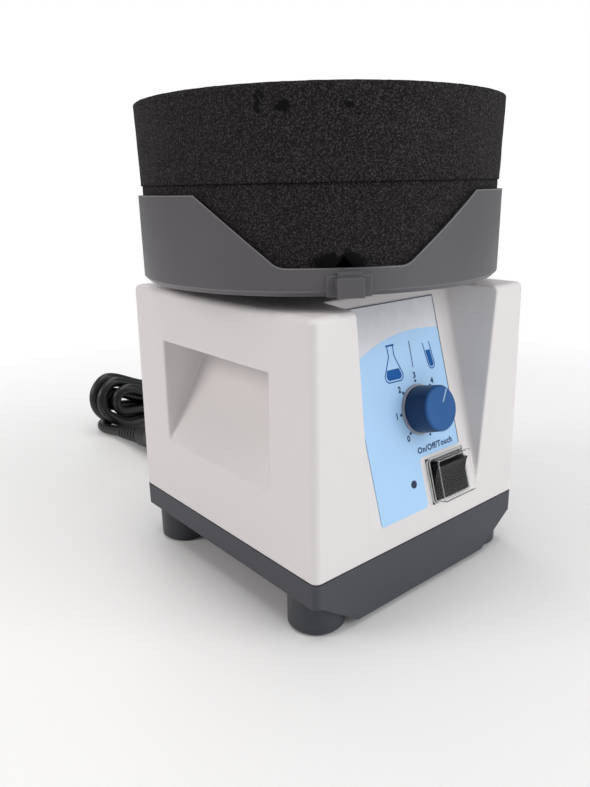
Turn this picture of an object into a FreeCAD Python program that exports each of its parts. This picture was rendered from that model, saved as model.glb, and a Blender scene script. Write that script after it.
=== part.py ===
import FreeCAD, Part
import math
import os

# Test tube shaker with a round platform tray and a foam tube holder.
# Everything is drawn about the motor axis, with z = 0 on the bench top, and is moved at the end
# so that the origin lies on the bench under the middle of the tray.

V = FreeCAD.Vector

# Case: a drafted plastic cover that stands on a shallow base pan
case_width = 127.0
case_depth = 128.0
case_top_z = 126.0
seam_z = 27.0
base_floor_z = 16.0
draft_deg = 0.75
wall = 3.0
corner_r = 3.0
top_edge_r = 2.5
opening_edge_r = 0.9
seam_groove_h = 0.6
seam_groove_deep = 0.8

# Front skirt of the base, deeper between its slanted ends
skirt_drop_z = 2.5
skirt_flat_half = 41.0
skirt_wall = 2.0
base_floor_t = 3.0

# Feet and the long screws that hold feet, base and cover together
foot_x = 51.0
foot_y = 50.0
foot_r = 11.6
foot_recess_r = 5.5
foot_recess_h = 8.0
foot_edge_r = 1.2
case_screw_r = 2.4
case_screw_head_r = 4.4
case_screw_head_h = 3.0
case_screw_bite = 16.0
post_r = 5.0
screw_play = 0.3
thread_play = 0.05
hole_play = 0.1
bond_play = 0.02

# Sloped control panel in the front recess
panel_tilt_deg = 16.0
panel_foot_z = 37.4
recess_foot_half = 33.6
recess_front_half = 42.3
recess_deep_half = 35.6
recess_corner_r = 2.5
label_t = 0.4

# Hand grips in both sides
grip_half = 37.7
grip_foot_z = 54.8
grip_ceiling_z = 103.1
grip_slope_deg = 29.0
grip_corner_r = 1.5

# Opening in the top, and the rubber boot that closes it and keeps the head from turning
top_hole_r = 30.0
boot_t = 1.3
boot_neck_r = 27.5
boot_lip_r = 33.0
boot_lip_t = 1.5
boot_trough_z = 117.5
boot_bead_r = 21.0
boot_bead_z1 = 127.0
boot_bead_edge = 0.8
soft_gap = 0.3

# Ballast, guide posts and rubber buffers of the drive
ballast_half_x = 44.5
ballast_half_y = 46.0
ballast_t = 16.0
ballast_screw_x = 30.0
ballast_screw_y = 36.0
ballast_screw_r = 2.0
ballast_screw_bite = 8.0
ballast_screw_head_r = 3.8
ballast_screw_head_h = 2.2
guide_pitch_half = 26.0
guide_r = 3.0
guide_shoulder_r = 5.0
guide_bite = 7.0
guide_over = 2.0
buffer_r = 7.0
buffer_h = 12.0
buffer_rim_h = 2.0
buffer_waist_in = 1.2
buffer_play = 0.4
running_gap = 0.06
nut_af = 10.0
nut_h = 4.0
washer_r = 6.0
washer_t = 1.0
press_travel = 1.5

# Drive: motor plate, motor and shaft
plate_z = 82.0
plate_t = 3.0
plate_half = 32.0
motor_r = 28.0
motor_h = 44.0
motor_boss_r = 10.0
motor_boss_h = 2.0
motor_cap_in = 8.0
motor_edge = 2.0
motor_screw_ring_r = 20.0
motor_screw_r = 2.0
motor_screw_bite = 8.0
motor_screw_head_r = 3.6
motor_screw_head_h = 2.4
motor_slot_w = 3.0
motor_slot_from_end = 12.0
motor_slot_deep = 2.0
shaft_r = 4.0
shaft_foot_z = 60.0
shaft_top_z = 106.0

# Eccentric: the tray circles on this radius without turning
orbit_r = 2.0
orbit_deg = 138.0
hub_z = 88.0
hub_r = 11.0
hub_h = 20.0
weight_z = 91.0
weight_h = 12.0
weight_r = 24.0
weight_half_deg = 70.0
journal_r = 6.0
journal_shoulder_r = 7.5
journal_shoulder_h = 2.0
grub_r = 1.5
grub_h = 1.8
grub_under = 0.6
journal_screw_r = 1.5
journal_screw_bite = 7.0
journal_screw_head_over = 1.5
journal_screw_head_h = 2.0

# Ball bearing between the eccentric and the head
bearing_h = 9.0
race_in_r = 8.5
race_out_r = 12.0
bearing_r = 15.0
ball_count = 7
ball_gap = 0.05

# Head that carries the tray
head_stem_r = 18.5
head_foot_h = 1.0
head_roof = 5.0
head_bore_r = 9.5
head_flange_r = 36.0
head_flange_t = 2.5
tray_z = 131.5

# Tray
tray_r = 76.5
tray_wall = 1.8
tray_floor_t = 2.5
tray_low_h = 9.7
tray_high_h = 34.0
tray_foot_edge_r = 1.8
tray_front_deg = -125.5
gap_foot_half = 22.5
gap_top_half = 50.7
gap_corner_r = 7.0
tab_deg = 1.1
tab_sunk = 0.4
tab_w = 9.4
tab_out = 4.2
tab_h = 6.6
tab_step_w = 8.2
tab_step_out = 2.2
tab_step_h = 8.3
tab_pad_w = 15.5
tab_pad_out = 0.6
tab_pad_h = 7.2
tray_screw_ring_r = 27.0
tray_screw_r = 2.0
tray_screw_head_r = 3.8
tray_screw_head_h = 2.0

# Foam tube holder in two layers
foam_seam_h = 37.6
foam_top_h = 68.1
foam_play = 0.2
foam_high_over = 0.6
foam_high_flare = 0.6
tube_hole_r = 8.5
tube_ring_r = 50.0
tube_count = 8
big_tube_r = 14.5
tube_floor_h = 12.5
notch_half = 9.0
notch_h = 11.2
notch_deep = 6.0

# Speed knob, its dial and the potentiometer, on the panel
dial_x = 5.6
dial_s = 41.5
knob_foot_r = 10.0
knob_top_r = 9.5
knob_foot_h = 1.6
knob_h = 12.4
knob_edge_r = 0.7
knob_nut_r = 6.2
knob_nut_h = 2.0
knob_well_r = 7.6
knob_well_h = 4.0
ring_r = 10.7
ring_hole_r = 7.9
ring_t = 1.1
pot_shaft_r = 3.0
pot_shaft_top = 10.0
pot_bush_r = 4.0
pot_bush_top = 2.6
pot_body_r = 8.5
pot_body_h = 7.4
pointer_deg = 55.0
pointer_w = 0.9
pointer_from = 2.6
pointer_deep = 0.5
pointer_under = 0.1
pointer_play = 0.01

# Rocker switch under a clear splash cover, on the panel
switch_x = 15.9
switch_s = 10.3
bezel_w = 24.6
bezel_l = 19.6
bezel_t = 0.5
rocker_w = 20.4
rocker_l = 14.4
rocker_end_h = 3.2
rocker_dip_h = 1.6
rocker_pivot_h = -3.5
rocker_foot_r = 4.6
rocker_rest_deg = 11.0
rocker_play = 0.4
rocker_pin_r = 1.2
rocker_pin_reach = 0.5
switch_open_l = 17.2
switch_body_wall = 0.6
switch_body_deep = 16.0
switch_well_deep = 11.0
switch_tab_t = 0.8
switch_tab_w = 6.0
switch_tab_l = 5.0
switch_tab_pitch = 6.0
cover_w = 25.4
cover_l = 19.8
cover_t = 0.6
cover_h = 5.0
cover_corner_r = 2.6
dome_corner_r = 1.8
dome_edge_r = 0.8

# Light beside the switch
led_x = -6.0
led_s = 12.2
led_r = 1.5
led_proud = 0.6
led_l = 6.0
led_rim = 0.6
led_rim_h = 1.2

# Circuit board behind the panel
board_x0 = -26.0
board_x1 = 33.0
board_s0 = 24.0
board_s1 = 72.0
board_t = 1.6
board_h = -12.0
board_inset = 4.0
board_post_r = 3.2
board_screw_r = 1.4
board_screw_bite = 5.0
board_screw_head_r = 2.6
board_screw_head_h = 1.8
relay_x = -16.0
relay_s = 57.0
relay_w = 14.0
relay_l = 10.0
relay_h = 7.0
sink_x = 26.5
sink_s = 52.0
sink_w = 9.0
sink_l = 16.0
sink_h = 5.0
capacitor_x = -14.0
capacitor_s = 42.0
capacitor_r = 4.0
capacitor_h = 6.0

# Label on the panel
label_left = -28.0
label_right = 26.8
label_step_x = 0.2
label_step_s = 21.7
label_foot_s = 0.8
label_top_s = 87.9
label_corner_r = 1.5
label_play = 0.2

# Touch switch under the motor plate
touch_x = -14.0
touch_y = 39.5
touch_body_w = 20.0
touch_body_d = 7.0
touch_body_h = 11.0
touch_top_z = 76.0
touch_button_w = 3.0
touch_arm_l = 12.0
touch_tongue_half = 6.0
touch_button_half_d = 1.0
touch_button_in = 2.2
touch_well_deep = 4.0
touch_well_play = 0.2
bracket_t = 2.0

# Mains inlet in the back, and the lead that plugs into it
inlet_x = 20.0
inlet_z = 50.0
inlet_flange_w = 31.0
inlet_flange_h = 25.0
inlet_flange_t = 1.8
inlet_off = 0.2
inlet_body_w = 27.0
inlet_body_h = 19.6
inlet_deep = 20.0
inlet_wall = 1.0
inlet_well = 17.0
pin_w = 2.0
pin_t = 4.0
pin_l = 13.0
pin_pitch = 7.0
plug_play = 0.3
connector_gap = 0.5
connector_corner_r = 4.0
pin_hole_stop = 1.5
connector_nose = 16.0
connector_body_l = 18.0
connector_w = 26.0
connector_h = 19.0
relief_l = 26.0
relief_thick_r = 6.6
relief_thin_r = 4.4
relief_ribs = 7
relief_rib_share = 0.62
relief_groove = 1.0
cord_r = 3.5

# Tied hank of spare lead on the bench behind the case, and the mains plug beside it
hank_x0 = -26.0
hank_x1 = 112.0
hank_y0 = 203.0
hank_y1 = 233.0
hank_z0 = 0.3
hank_h = 42.5
hank_top_r = 20.0
hank_foot_r = 14.0
hank_edge_r = 6.0
hank_waist_h = 26.0
hank_waist_half = 46.0
tie_x = 43.0
tie_w = 8.0
tie_t = 1.2
plug_x = -14.5
plug_back_y = 196.0
plug_z = 5.6
plug_tip_deg = 7.2
plug_yaw_deg = 10.0
plug_body_l = 42.0
plug_body_r = 11.6
plug_blade_l = 17.0
plug_blade_w = 6.4
plug_blade_t = 1.6
plug_blade_pitch = 12.7
plug_earth_r = 2.4
plug_earth_down = 6.0
plug_earth_over = 2.0
plug_blade_up = 2.0
plug_edge = 1.0
plug_neck_in = 3.0

draft = math.tan(math.radians(draft_deg))
panel_tilt = math.radians(panel_tilt_deg)
front_y = -case_depth / 2
back_y = case_depth / 2
case_half_x = case_width / 2
ballast_z = base_floor_z + base_floor_t
ballast_top_z = ballast_z + ballast_t
plate_top_z = plate_z + plate_t
journal = V(orbit_r * math.cos(math.radians(orbit_deg)), orbit_r * math.sin(math.radians(orbit_deg)), 0)
bearing_z = hub_z + hub_h + journal_shoulder_h
head_foot_z = bearing_z - head_foot_h
bearing_top_z = bearing_z + bearing_h
foam_z = tray_z + tray_floor_t
foam_low_r = tray_r - tray_wall - foam_play
foam_high_foot_r = foam_low_r + foam_high_over
foam_high_top_r = foam_high_foot_r + foam_high_flare
foot_places = [(x * foot_x, y * foot_y) for x in (-1, 1) for y in (-1, 1)]
guide_places = [(x * guide_pitch_half, y * guide_pitch_half) for x in (-1, 1) for y in (-1, 1)]


def move(shape, x=0, y=0, z=0):
    moved = shape.copy()
    moved.translate(V(x, y, z))
    return moved


def cylinder(r, z0, z1, x=0, y=0):
    return Part.makeCylinder(r, z1 - z0, V(x, y, z0))


def ring(r_out, r_in, z0, z1, x=0, y=0):
    return cylinder(r_out, z0, z1, x, y).cut(cylinder(r_in, z0 - 1, z1 + 1, x, y))


def block(x0, x1, y0, y1, z0, z1):
    return Part.makeBox(x1 - x0, y1 - y0, z1 - z0, V(x0, y0, z0))


def rounded_wire(half_x, half_y, r, z):
    """Closed outline of a rectangle with round corners, in a level plane."""
    edges = []
    corners = [(half_x, half_y), (-half_x, half_y), (-half_x, -half_y), (half_x, -half_y)]
    turn = math.sqrt(0.5)
    for i, (x, y) in enumerate(corners):
        sx = math.copysign(1, x)
        sy = math.copysign(1, y)
        centre = V(x - sx * r, y - sy * r, z)
        from_side = centre + V(sx * r, 0, 0)
        to_side = centre + V(0, sy * r, 0)
        middle = centre + V(sx * r * turn, sy * r * turn, 0)
        if i % 2:
            from_side, to_side = to_side, from_side
        edges.append((from_side, middle, to_side))
    lines = []
    for i, (start, middle, end) in enumerate(edges):
        following = edges[(i + 1) % 4][0]
        lines.append(Part.Arc(start, middle, end).toShape())
        lines.append(Part.LineSegment(end, following).toShape())
    return Part.Wire(lines)


def rounded_block(half_x, half_y, r, z0, z1, x=0, y=0):
    face = Part.Face(rounded_wire(half_x, half_y, r, z0))
    return move(face.extrude(V(0, 0, z1 - z0)), x, y)


def drafted_block(half_x, half_y, r, z0, z1, inset):
    low = rounded_wire(half_x, half_y, r, z0)
    high = rounded_wire(half_x - inset, half_y - inset, r, z1)
    return Part.makeLoft([low, high], True, True)


def turned(profile, x=0, y=0):
    """Solid of revolution about a vertical axis from (radius, height) points."""
    points = [V(r, 0, z) for r, z in profile]
    face = Part.Face(Part.makePolygon(points + points[:1]))
    return move(face.revolve(V(0, 0, 0), V(0, 0, 1), 360), x, y)


def prism(outline, along):
    """Straight solid over a closed outline of points."""
    face = Part.Face(Part.makePolygon(outline + outline[:1]))
    return face.extrude(along)


def slab_beyond(a, b, c, size):
    """Thick square slab on the far side of the plane through three points, seen from the case's middle."""
    normal = (b - a).cross(c - a).normalize()
    if normal.x * a.x < 0:
        normal = normal * -1
    along = (b - a).normalize() * size
    across = normal.cross(b - a).normalize() * size
    middle = (a + b) * 0.5
    square = [middle + along + across, middle - along + across,
              middle - along - across, middle + along - across]
    return prism(square, normal * size)


def fused(shapes):
    whole = shapes[0]
    for shape in shapes[1:]:
        whole = whole.fuse(shape)
    return whole.removeSplitter()


def group(shapes):
    return Part.makeCompound(shapes)


def edges_where(shape, test):
    return [e for e in shape.Edges if test(e.BoundBox)]


def round_edges(shape, r, test):
    picked = edges_where(shape, test)
    return shape.makeFillet(r, picked) if picked else shape


def on_panel(shape):
    """Moves a shape drawn in panel coordinates (x across, y up the slope, z out of it) to its place."""
    m = FreeCAD.Matrix()
    c = math.cos(panel_tilt)
    s = math.sin(panel_tilt)
    m.A11, m.A12, m.A13, m.A14 = 1, 0, 0, 0
    m.A21, m.A22, m.A23, m.A24 = 0, s, -c, front_y
    m.A31, m.A32, m.A33, m.A34 = 0, c, s, panel_foot_z
    placed = shape.copy()
    placed.Placement = FreeCAD.Placement(m).multiply(placed.Placement)
    return placed


def screw(r, length, head_r, head_h, up=True):
    """Slotted pan head screw with its head under z = 0 and its shank above, or the other way up."""
    head = turned([(0, 0), (head_r, 0), (head_r, -head_h * 0.5), (head_r * 0.7, -head_h), (0, -head_h)])
    slot = block(-head_r, head_r, -0.5, 0.5, -head_h - 1, -head_h * 0.5)
    body = fused([cylinder(r, 0, length), head.cut(slot)])
    if not up:
        body = body.mirror(V(0, 0, 0), V(0, 0, 1))
    return body


def recess_space(grow=0.0):
    """Space in front of the sloped panel, between its flared side walls, grown by a wall for the cavity."""
    slope = math.tan(panel_tilt)
    over = 4.0
    shift = grow / math.cos(panel_tilt)
    foot = V(0, front_y - over, panel_foot_z - (over + shift) / slope)
    deep = V(0, front_y + shift + (case_top_z + over - panel_foot_z) * slope, case_top_z + over)
    reach = case_half_x
    outline = [foot, deep, V(0, front_y - over, case_top_z + over)]
    space = prism([p - V(reach, 0, 0) for p in outline], V(2 * reach, 0, 0))
    depth = (case_top_z - panel_foot_z) * slope
    for side in (-1, 1):
        low = V(side * (recess_foot_half + grow), front_y, panel_foot_z)
        high = V(side * (recess_front_half + grow), front_y, case_top_z)
        back = V(side * (recess_deep_half + grow), front_y + depth, case_top_z)
        space = space.cut(slab_beyond(low, high, back, 2 * case_top_z))
    if grow:
        return space
    corners = [e for e in space.Edges if e.BoundBox.XLength > 0.5 and e.BoundBox.XLength < 8
               and e.BoundBox.YLength > 10 and e.BoundBox.ZLength > 10]
    return space.makeFillet(recess_corner_r, corners)


def grip_space(side, grow=0.0):
    """Wedge of the hand grip: a level ceiling and a floor that slopes out to the wall."""
    slope = math.tan(math.radians(grip_slope_deg))
    out_x = case_half_x + 3
    foot_z = grip_foot_z - 3 / slope - grow / math.sin(math.radians(grip_slope_deg))
    top_z = grip_ceiling_z + grow
    deep_x = out_x - (top_z - foot_z) * slope
    half = grip_half + grow
    outline = [V(side * out_x, -half, foot_z), V(side * deep_x, -half, top_z), V(side * out_x, -half, top_z)]
    space = prism(outline, V(0, 2 * half, 0))
    if grow:
        return space
    return round_edges(space, grip_corner_r, lambda b: b.XLength > 5 and b.ZLength > 5 and b.YLength < 1)


def top_shell():
    height = case_top_z - seam_z
    inset = height * draft
    outer = drafted_block(case_half_x, case_depth / 2, corner_r, seam_z, case_top_z, inset)
    outer = round_edges(outer, top_edge_r, lambda b: b.ZMin > case_top_z - 0.1)
    inner = drafted_block(case_half_x - wall, case_depth / 2 - wall, corner_r, seam_z - 1,
                          case_top_z - wall, (height - wall) * draft)
    cavity = inner.cut(recess_space(wall))
    for side in (-1, 1):
        cavity = cavity.cut(grip_space(side, wall))
    for x, y in foot_places:
        cavity = cavity.cut(cylinder(post_r, seam_z, case_top_z, x, y))
    outer = outer.cut(recess_space())
    for side in (-1, 1):
        outer = outer.cut(grip_space(side))
    for on_rim in (on_recess_rim, on_grip_rim):
        outer = round_edges(outer, opening_edge_r, on_rim)
    shell = outer.cut(cavity)
    posts = [cylinder(post_r, ballast_z, seam_z + 1, x, y) for x, y in foot_places]
    board_posts = [on_panel(cylinder(board_post_r, board_h, -wall + 0.5, x, s))
                   for x, s in board_post_places()]
    shell = fused([shell] + posts + board_posts)
    cuts = [cylinder(top_hole_r, case_top_z - 2 * wall, case_top_z + 1)]
    hole_top = ballast_z + case_screw_bite
    cuts += [cylinder(case_screw_r + thread_play, ballast_z - 1, hole_top + 1, x, y) for x, y in foot_places]
    cuts.append(on_panel(cylinder(pot_bush_r + screw_play, -wall * 3, wall, dial_x, dial_s)))
    cuts.append(on_panel(cylinder(led_r + thread_play, -wall * 3, wall, led_x, led_s)))
    cuts.append(on_panel(switch_window(switch_body_wall + screw_play, -wall * 4, wall)))
    bore_h = board_h + board_screw_bite + 1
    cuts += [on_panel(cylinder(board_screw_r + thread_play, board_h - 1, bore_h, x, s))
             for x, s in board_post_places()]
    cuts.append(inlet_outline(inlet_body_w / 2 + plug_play, inlet_body_h / 2 + plug_play,
                              back_y - 2 * wall - 2, back_y + 2))
    for cut in cuts:
        shell = shell.cut(cut)
    return shell


def on_recess_rim(b):
    """Whether an edge with this box is one of the two long front edges of the recess."""
    middle = abs(b.XMin + b.XMax) / 2
    return b.ZLength > 50 and b.YMax < front_y + wall and recess_foot_half < middle < recess_front_half


def on_grip_rim(b):
    """Whether an edge with this box lies on the rim of a hand grip."""
    out = min(abs(b.XMin), abs(b.XMax)) > case_half_x - wall
    high = grip_foot_z - wall < b.ZMin and b.ZMax < grip_ceiling_z + 1
    return out and high and abs(b.YMin) < grip_half + 1 and abs(b.YMax) < grip_half + 1


def board_post_places():
    xs = (board_x0 + board_inset, board_x1 - board_inset)
    ss = (board_s0 + board_inset, board_s1 - board_inset)
    return [(x, s) for x in xs for s in ss]


def switch_window(grow, h0, h1):
    """Rectangular well around the rocker, drawn in panel coordinates."""
    half_w = rocker_w / 2 + rocker_play + grow
    half_l = switch_open_l / 2 + grow
    return block(switch_x - half_w, switch_x + half_w, switch_s - half_l, switch_s + half_l, h0, h1)


def inlet_outline(half_w, half_h, y0, y1):
    """Six-sided outline of the mains socket, with its two upper corners cut off."""
    cut = half_h * 0.45
    z0 = inlet_z - half_h
    z1 = inlet_z + half_h
    x0 = inlet_x - half_w
    x1 = inlet_x + half_w
    outline = [V(x0, y0, z0), V(x1, y0, z0), V(x1, y0, z1 - cut), V(x1 - cut, y0, z1), V(x0 + cut, y0, z1),
               V(x0, y0, z1 - cut)]
    return prism(outline, V(0, y1 - y0, 0))


def base_pan():
    outer = rounded_block(case_half_x, case_depth / 2, corner_r, base_floor_z, seam_z)
    pocket = rounded_block(case_half_x - wall, case_depth / 2 - wall, corner_r, ballast_z, seam_z + 1)
    groove_face = rounded_block(case_half_x + 1, case_depth / 2 + 1, corner_r,
                                seam_z - seam_groove_h, seam_z + 1)
    groove_core = rounded_block(case_half_x - seam_groove_deep, case_depth / 2 - seam_groove_deep, corner_r,
                                seam_z - seam_groove_h - 1, seam_z + 2)
    pan = outer.cut(pocket).cut(groove_face.cut(groove_core))
    end_x = case_half_x - corner_r
    outline = [V(-end_x, front_y, base_floor_z + 1), V(-end_x, front_y, base_floor_z),
               V(-skirt_flat_half, front_y, skirt_drop_z), V(skirt_flat_half, front_y, skirt_drop_z),
               V(end_x, front_y, base_floor_z), V(end_x, front_y, base_floor_z + 1)]
    skirt = prism(outline, V(0, skirt_wall, 0))
    pan = fused([pan, skirt])
    for x, y in foot_places:
        pan = pan.cut(cylinder(case_screw_r + screw_play, base_floor_z - 1, seam_z, x, y))
    for x, y in ballast_screw_places():
        pan = pan.cut(cylinder(ballast_screw_r + screw_play, base_floor_z - 1, seam_z, x, y))
    return pan


def ballast_screw_places():
    return [(x * ballast_screw_x, y * ballast_screw_y) for x in (-1, 1) for y in (-1, 1)]


def rubber_feet():
    feet = []
    for x, y in foot_places:
        bore_r = case_screw_r + screw_play
        foot = turned([(foot_recess_r, 0), (foot_r - foot_edge_r, 0), (foot_r, foot_edge_r),
                       (foot_r, base_floor_z), (bore_r, base_floor_z), (bore_r, foot_recess_h),
                       (foot_recess_r, foot_recess_h)], x, y)
        feet.append(foot)
    return group(feet)


def case_screws():
    length = ballast_z + case_screw_bite - foot_recess_h
    return group([move(screw(case_screw_r, length, case_screw_head_r, case_screw_head_h), x, y, foot_recess_h)
                  for x, y in foot_places])


def ballast_plate():
    plate = rounded_block(ballast_half_x, ballast_half_y, corner_r, ballast_z, ballast_top_z)
    for x, y in ballast_screw_places():
        bore_z = ballast_z + ballast_screw_bite + 1
        plate = plate.cut(cylinder(ballast_screw_r + thread_play, ballast_z - 1, bore_z, x, y))
    for x, y in guide_places:
        bore_z = ballast_top_z - guide_bite - 1
        plate = plate.cut(cylinder(guide_r + thread_play, bore_z, ballast_top_z + 1, x, y))
    return plate


def ballast_screws():
    length = base_floor_t + ballast_screw_bite
    body = screw(ballast_screw_r, length, ballast_screw_head_r, ballast_screw_head_h)
    return group([move(body, x, y, base_floor_z) for x, y in ballast_screw_places()])


def guide_posts():
    shoulder_z = plate_z - buffer_h
    top_z = plate_top_z + washer_t + nut_h + guide_over
    posts = []
    for x, y in guide_places:
        stem = cylinder(guide_r, ballast_top_z - guide_bite, top_z, x, y)
        posts.append(fused([stem, cylinder(guide_shoulder_r, ballast_top_z, shoulder_z, x, y)]))
    return group(posts)


def rubber_buffers():
    z0 = plate_z - buffer_h
    z1 = plate_z - soft_gap
    inner = guide_r + buffer_play
    waist = buffer_r - buffer_waist_in
    profile = [(inner, z0), (buffer_r, z0), (buffer_r, z0 + buffer_rim_h), (waist, (z0 + z1) / 2),
               (buffer_r, z1 - buffer_rim_h), (buffer_r, z1), (inner, z1)]
    return group([turned(profile, x, y) for x, y in guide_places])


def stop_nuts():
    z0 = plate_top_z + washer_t
    corner = nut_af / math.sqrt(3)
    turns = [math.radians(a) for a in range(0, 360, 60)]
    outline = [V(corner * math.cos(a), corner * math.sin(a), z0) for a in turns]
    nuts = []
    for x, y in guide_places:
        hexagon = move(prism(outline, V(0, 0, nut_h)), x, y)
        nut = fused([hexagon, cylinder(washer_r, plate_top_z, z0, x, y)])
        nuts.append(nut.cut(cylinder(guide_r + thread_play, plate_top_z - 1, z0 + nut_h + 1, x, y)))
    return group(nuts)


def motor_plate():
    plate = rounded_block(plate_half, plate_half, corner_r, plate_z, plate_top_z)
    holes = [cylinder(motor_boss_r + hole_play, plate_z - 1, plate_top_z + 1)]
    holes += [cylinder(guide_r + running_gap, plate_z - 1, plate_top_z + 1, x, y) for x, y in guide_places]
    holes += [cylinder(motor_screw_r + hole_play, plate_z - 1, plate_top_z + 1, x, y)
              for x, y in motor_screw_places()]
    for hole in holes:
        plate = plate.cut(hole)
    tongue = block(touch_x - touch_tongue_half, touch_x + touch_tongue_half, plate_half - 1,
                   touch_y + touch_body_d / 2, plate_z, plate_top_z)
    return fused([plate, tongue])


def motor_screw_places():
    return [(motor_screw_ring_r * math.cos(math.radians(a)), motor_screw_ring_r * math.sin(math.radians(a)))
            for a in (0, 90, 180, 270)]


def motor_housing():
    z0 = plate_z - motor_h
    boss_z = plate_top_z + motor_boss_h
    cap_r = motor_r - motor_cap_in
    can = turned([(0, z0), (cap_r, z0), (cap_r + 2, z0 + 3), (motor_r, z0 + 5),
                  (motor_r, plate_z - motor_edge), (motor_r - motor_edge, plate_z), (motor_boss_r, plate_z),
                  (motor_boss_r, boss_z), (0, boss_z)])
    can = can.cut(cylinder(shaft_r + running_gap, shaft_foot_z - 0.5, boss_z + 1))
    for x, y in motor_screw_places():
        bore_z = plate_z - motor_screw_bite - 1
        can = can.cut(cylinder(motor_screw_r + thread_play, bore_z, plate_z + 1, x, y))
    for angle in range(0, 360, 30):
        slot = block(motor_r - motor_slot_deep, motor_r + 2, -motor_slot_w / 2, motor_slot_w / 2,
                     z0 + motor_slot_from_end, plate_z - motor_slot_from_end)
        slot.rotate(V(0, 0, 0), V(0, 0, 1), angle)
        can = can.cut(slot)
    return can


def motor_screws():
    body = screw(motor_screw_r, plate_t + motor_screw_bite, motor_screw_head_r, motor_screw_head_h, up=False)
    return group([move(body, x, y, plate_top_z) for x, y in motor_screw_places()])


def motor_shaft():
    return cylinder(shaft_r, shaft_foot_z, shaft_top_z)


def eccentric_hub():
    start = math.radians(orbit_deg + 180 - weight_half_deg)
    end = math.radians(orbit_deg + 180 + weight_half_deg)
    middle = (start + end) / 2
    arc = Part.Arc(V(weight_r * math.cos(start), weight_r * math.sin(start), weight_z),
                   V(weight_r * math.cos(middle), weight_r * math.sin(middle), weight_z),
                   V(weight_r * math.cos(end), weight_r * math.sin(end), weight_z)).toShape()
    centre = V(0, 0, weight_z)
    sides = [Part.LineSegment(arc.Vertexes[1].Point, centre).toShape(),
             Part.LineSegment(centre, arc.Vertexes[0].Point).toShape()]
    weight = Part.Face(Part.Wire([arc] + sides)).extrude(V(0, 0, weight_h))
    top = hub_z + hub_h
    shoulder = cylinder(journal_shoulder_r, top, bearing_z, journal.x, journal.y)
    pin = cylinder(journal_r, top, bearing_top_z, journal.x, journal.y)
    hub = fused([cylinder(hub_r, hub_z, top), weight, shoulder, pin])
    hub = hub.cut(cylinder(shaft_r + bond_play, hub_z - 1, shaft_top_z + 0.5))
    bore_z = bearing_top_z - journal_screw_bite - 1
    hub = hub.cut(cylinder(journal_screw_r + hole_play, bore_z, bearing_top_z + 1, journal.x, journal.y))
    grub = Part.makeCylinder(grub_r + thread_play, hub_r + 1, V(0, 0, hub_z + grub_h), grub_direction())
    return hub.cut(grub)


def grub_direction():
    angle = math.radians(orbit_deg)
    return V(math.cos(angle), math.sin(angle), 0)


def grub_screw():
    start = grub_direction() * (shaft_r + bond_play) + V(0, 0, hub_z + grub_h)
    return Part.makeCylinder(grub_r, hub_r - shaft_r - grub_under, start, grub_direction())


def bearing_inner():
    return ring(race_in_r, journal_r, bearing_z, bearing_top_z, journal.x, journal.y)


def bearing_balls():
    pitch_r = (race_in_r + race_out_r) / 2
    ball_r = (race_out_r - race_in_r) / 2 - ball_gap
    balls = []
    for i in range(ball_count):
        a = 2 * math.pi * i / ball_count
        place = journal + V(pitch_r * math.cos(a), pitch_r * math.sin(a), bearing_z + bearing_h / 2)
        balls.append(Part.makeSphere(ball_r, place))
    return group(balls)


def bearing_outer():
    return ring(bearing_r, race_out_r, bearing_z, bearing_top_z, journal.x, journal.y)


def journal_screw():
    head_r = journal_r + journal_screw_head_over
    body = screw(journal_screw_r, journal_screw_bite, head_r, journal_screw_head_h, up=False)
    return move(body, journal.x, journal.y, bearing_top_z)


def head_carrier():
    flange_z = tray_z - head_flange_t
    body = turned([(bearing_r, head_foot_z), (head_stem_r, head_foot_z), (head_stem_r, flange_z),
                   (head_flange_r, flange_z), (head_flange_r, tray_z), (0, tray_z),
                   (0, bearing_top_z + head_roof), (head_bore_r, bearing_top_z + head_roof - 2),
                   (head_bore_r, bearing_top_z), (bearing_r, bearing_top_z)], journal.x, journal.y)
    for x, y in tray_screw_places():
        body = body.cut(cylinder(tray_screw_r + thread_play, flange_z - 1, tray_z + 1, x, y))
    return body


def tray_screw_places():
    return [(journal.x + tray_screw_ring_r * math.cos(math.radians(a)),
             journal.y + tray_screw_ring_r * math.sin(math.radians(a))) for a in (45, 135, 225, 315)]


def tray_turn(shape):
    """Turns a shape drawn with the tray's front along +X to the tray's own direction and place."""
    turned_shape = shape.copy()
    turned_shape.rotate(V(0, 0, 0), V(0, 0, 1), tray_front_deg)
    return move(turned_shape, journal.x, journal.y)


def tray_gap():
    """Prism through the front and back of the tray wall, with round lower corners."""
    z0 = tray_z + tray_low_h
    z1 = tray_z + tray_high_h
    slope = (gap_top_half - gap_foot_half) / (z1 - z0)
    over = 4
    half = gap_top_half + slope * over
    reach = tray_r + tab_out + 2
    outline = [V(-reach, -gap_foot_half, z0), V(-reach, gap_foot_half, z0), V(-reach, half, z1 + over),
               V(-reach, -half, z1 + over)]
    gap = prism(outline, V(2 * reach, 0, 0))
    return round_edges(gap, gap_corner_r, lambda b: b.XLength > reach and b.ZMax < z0 + 0.1)


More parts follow.
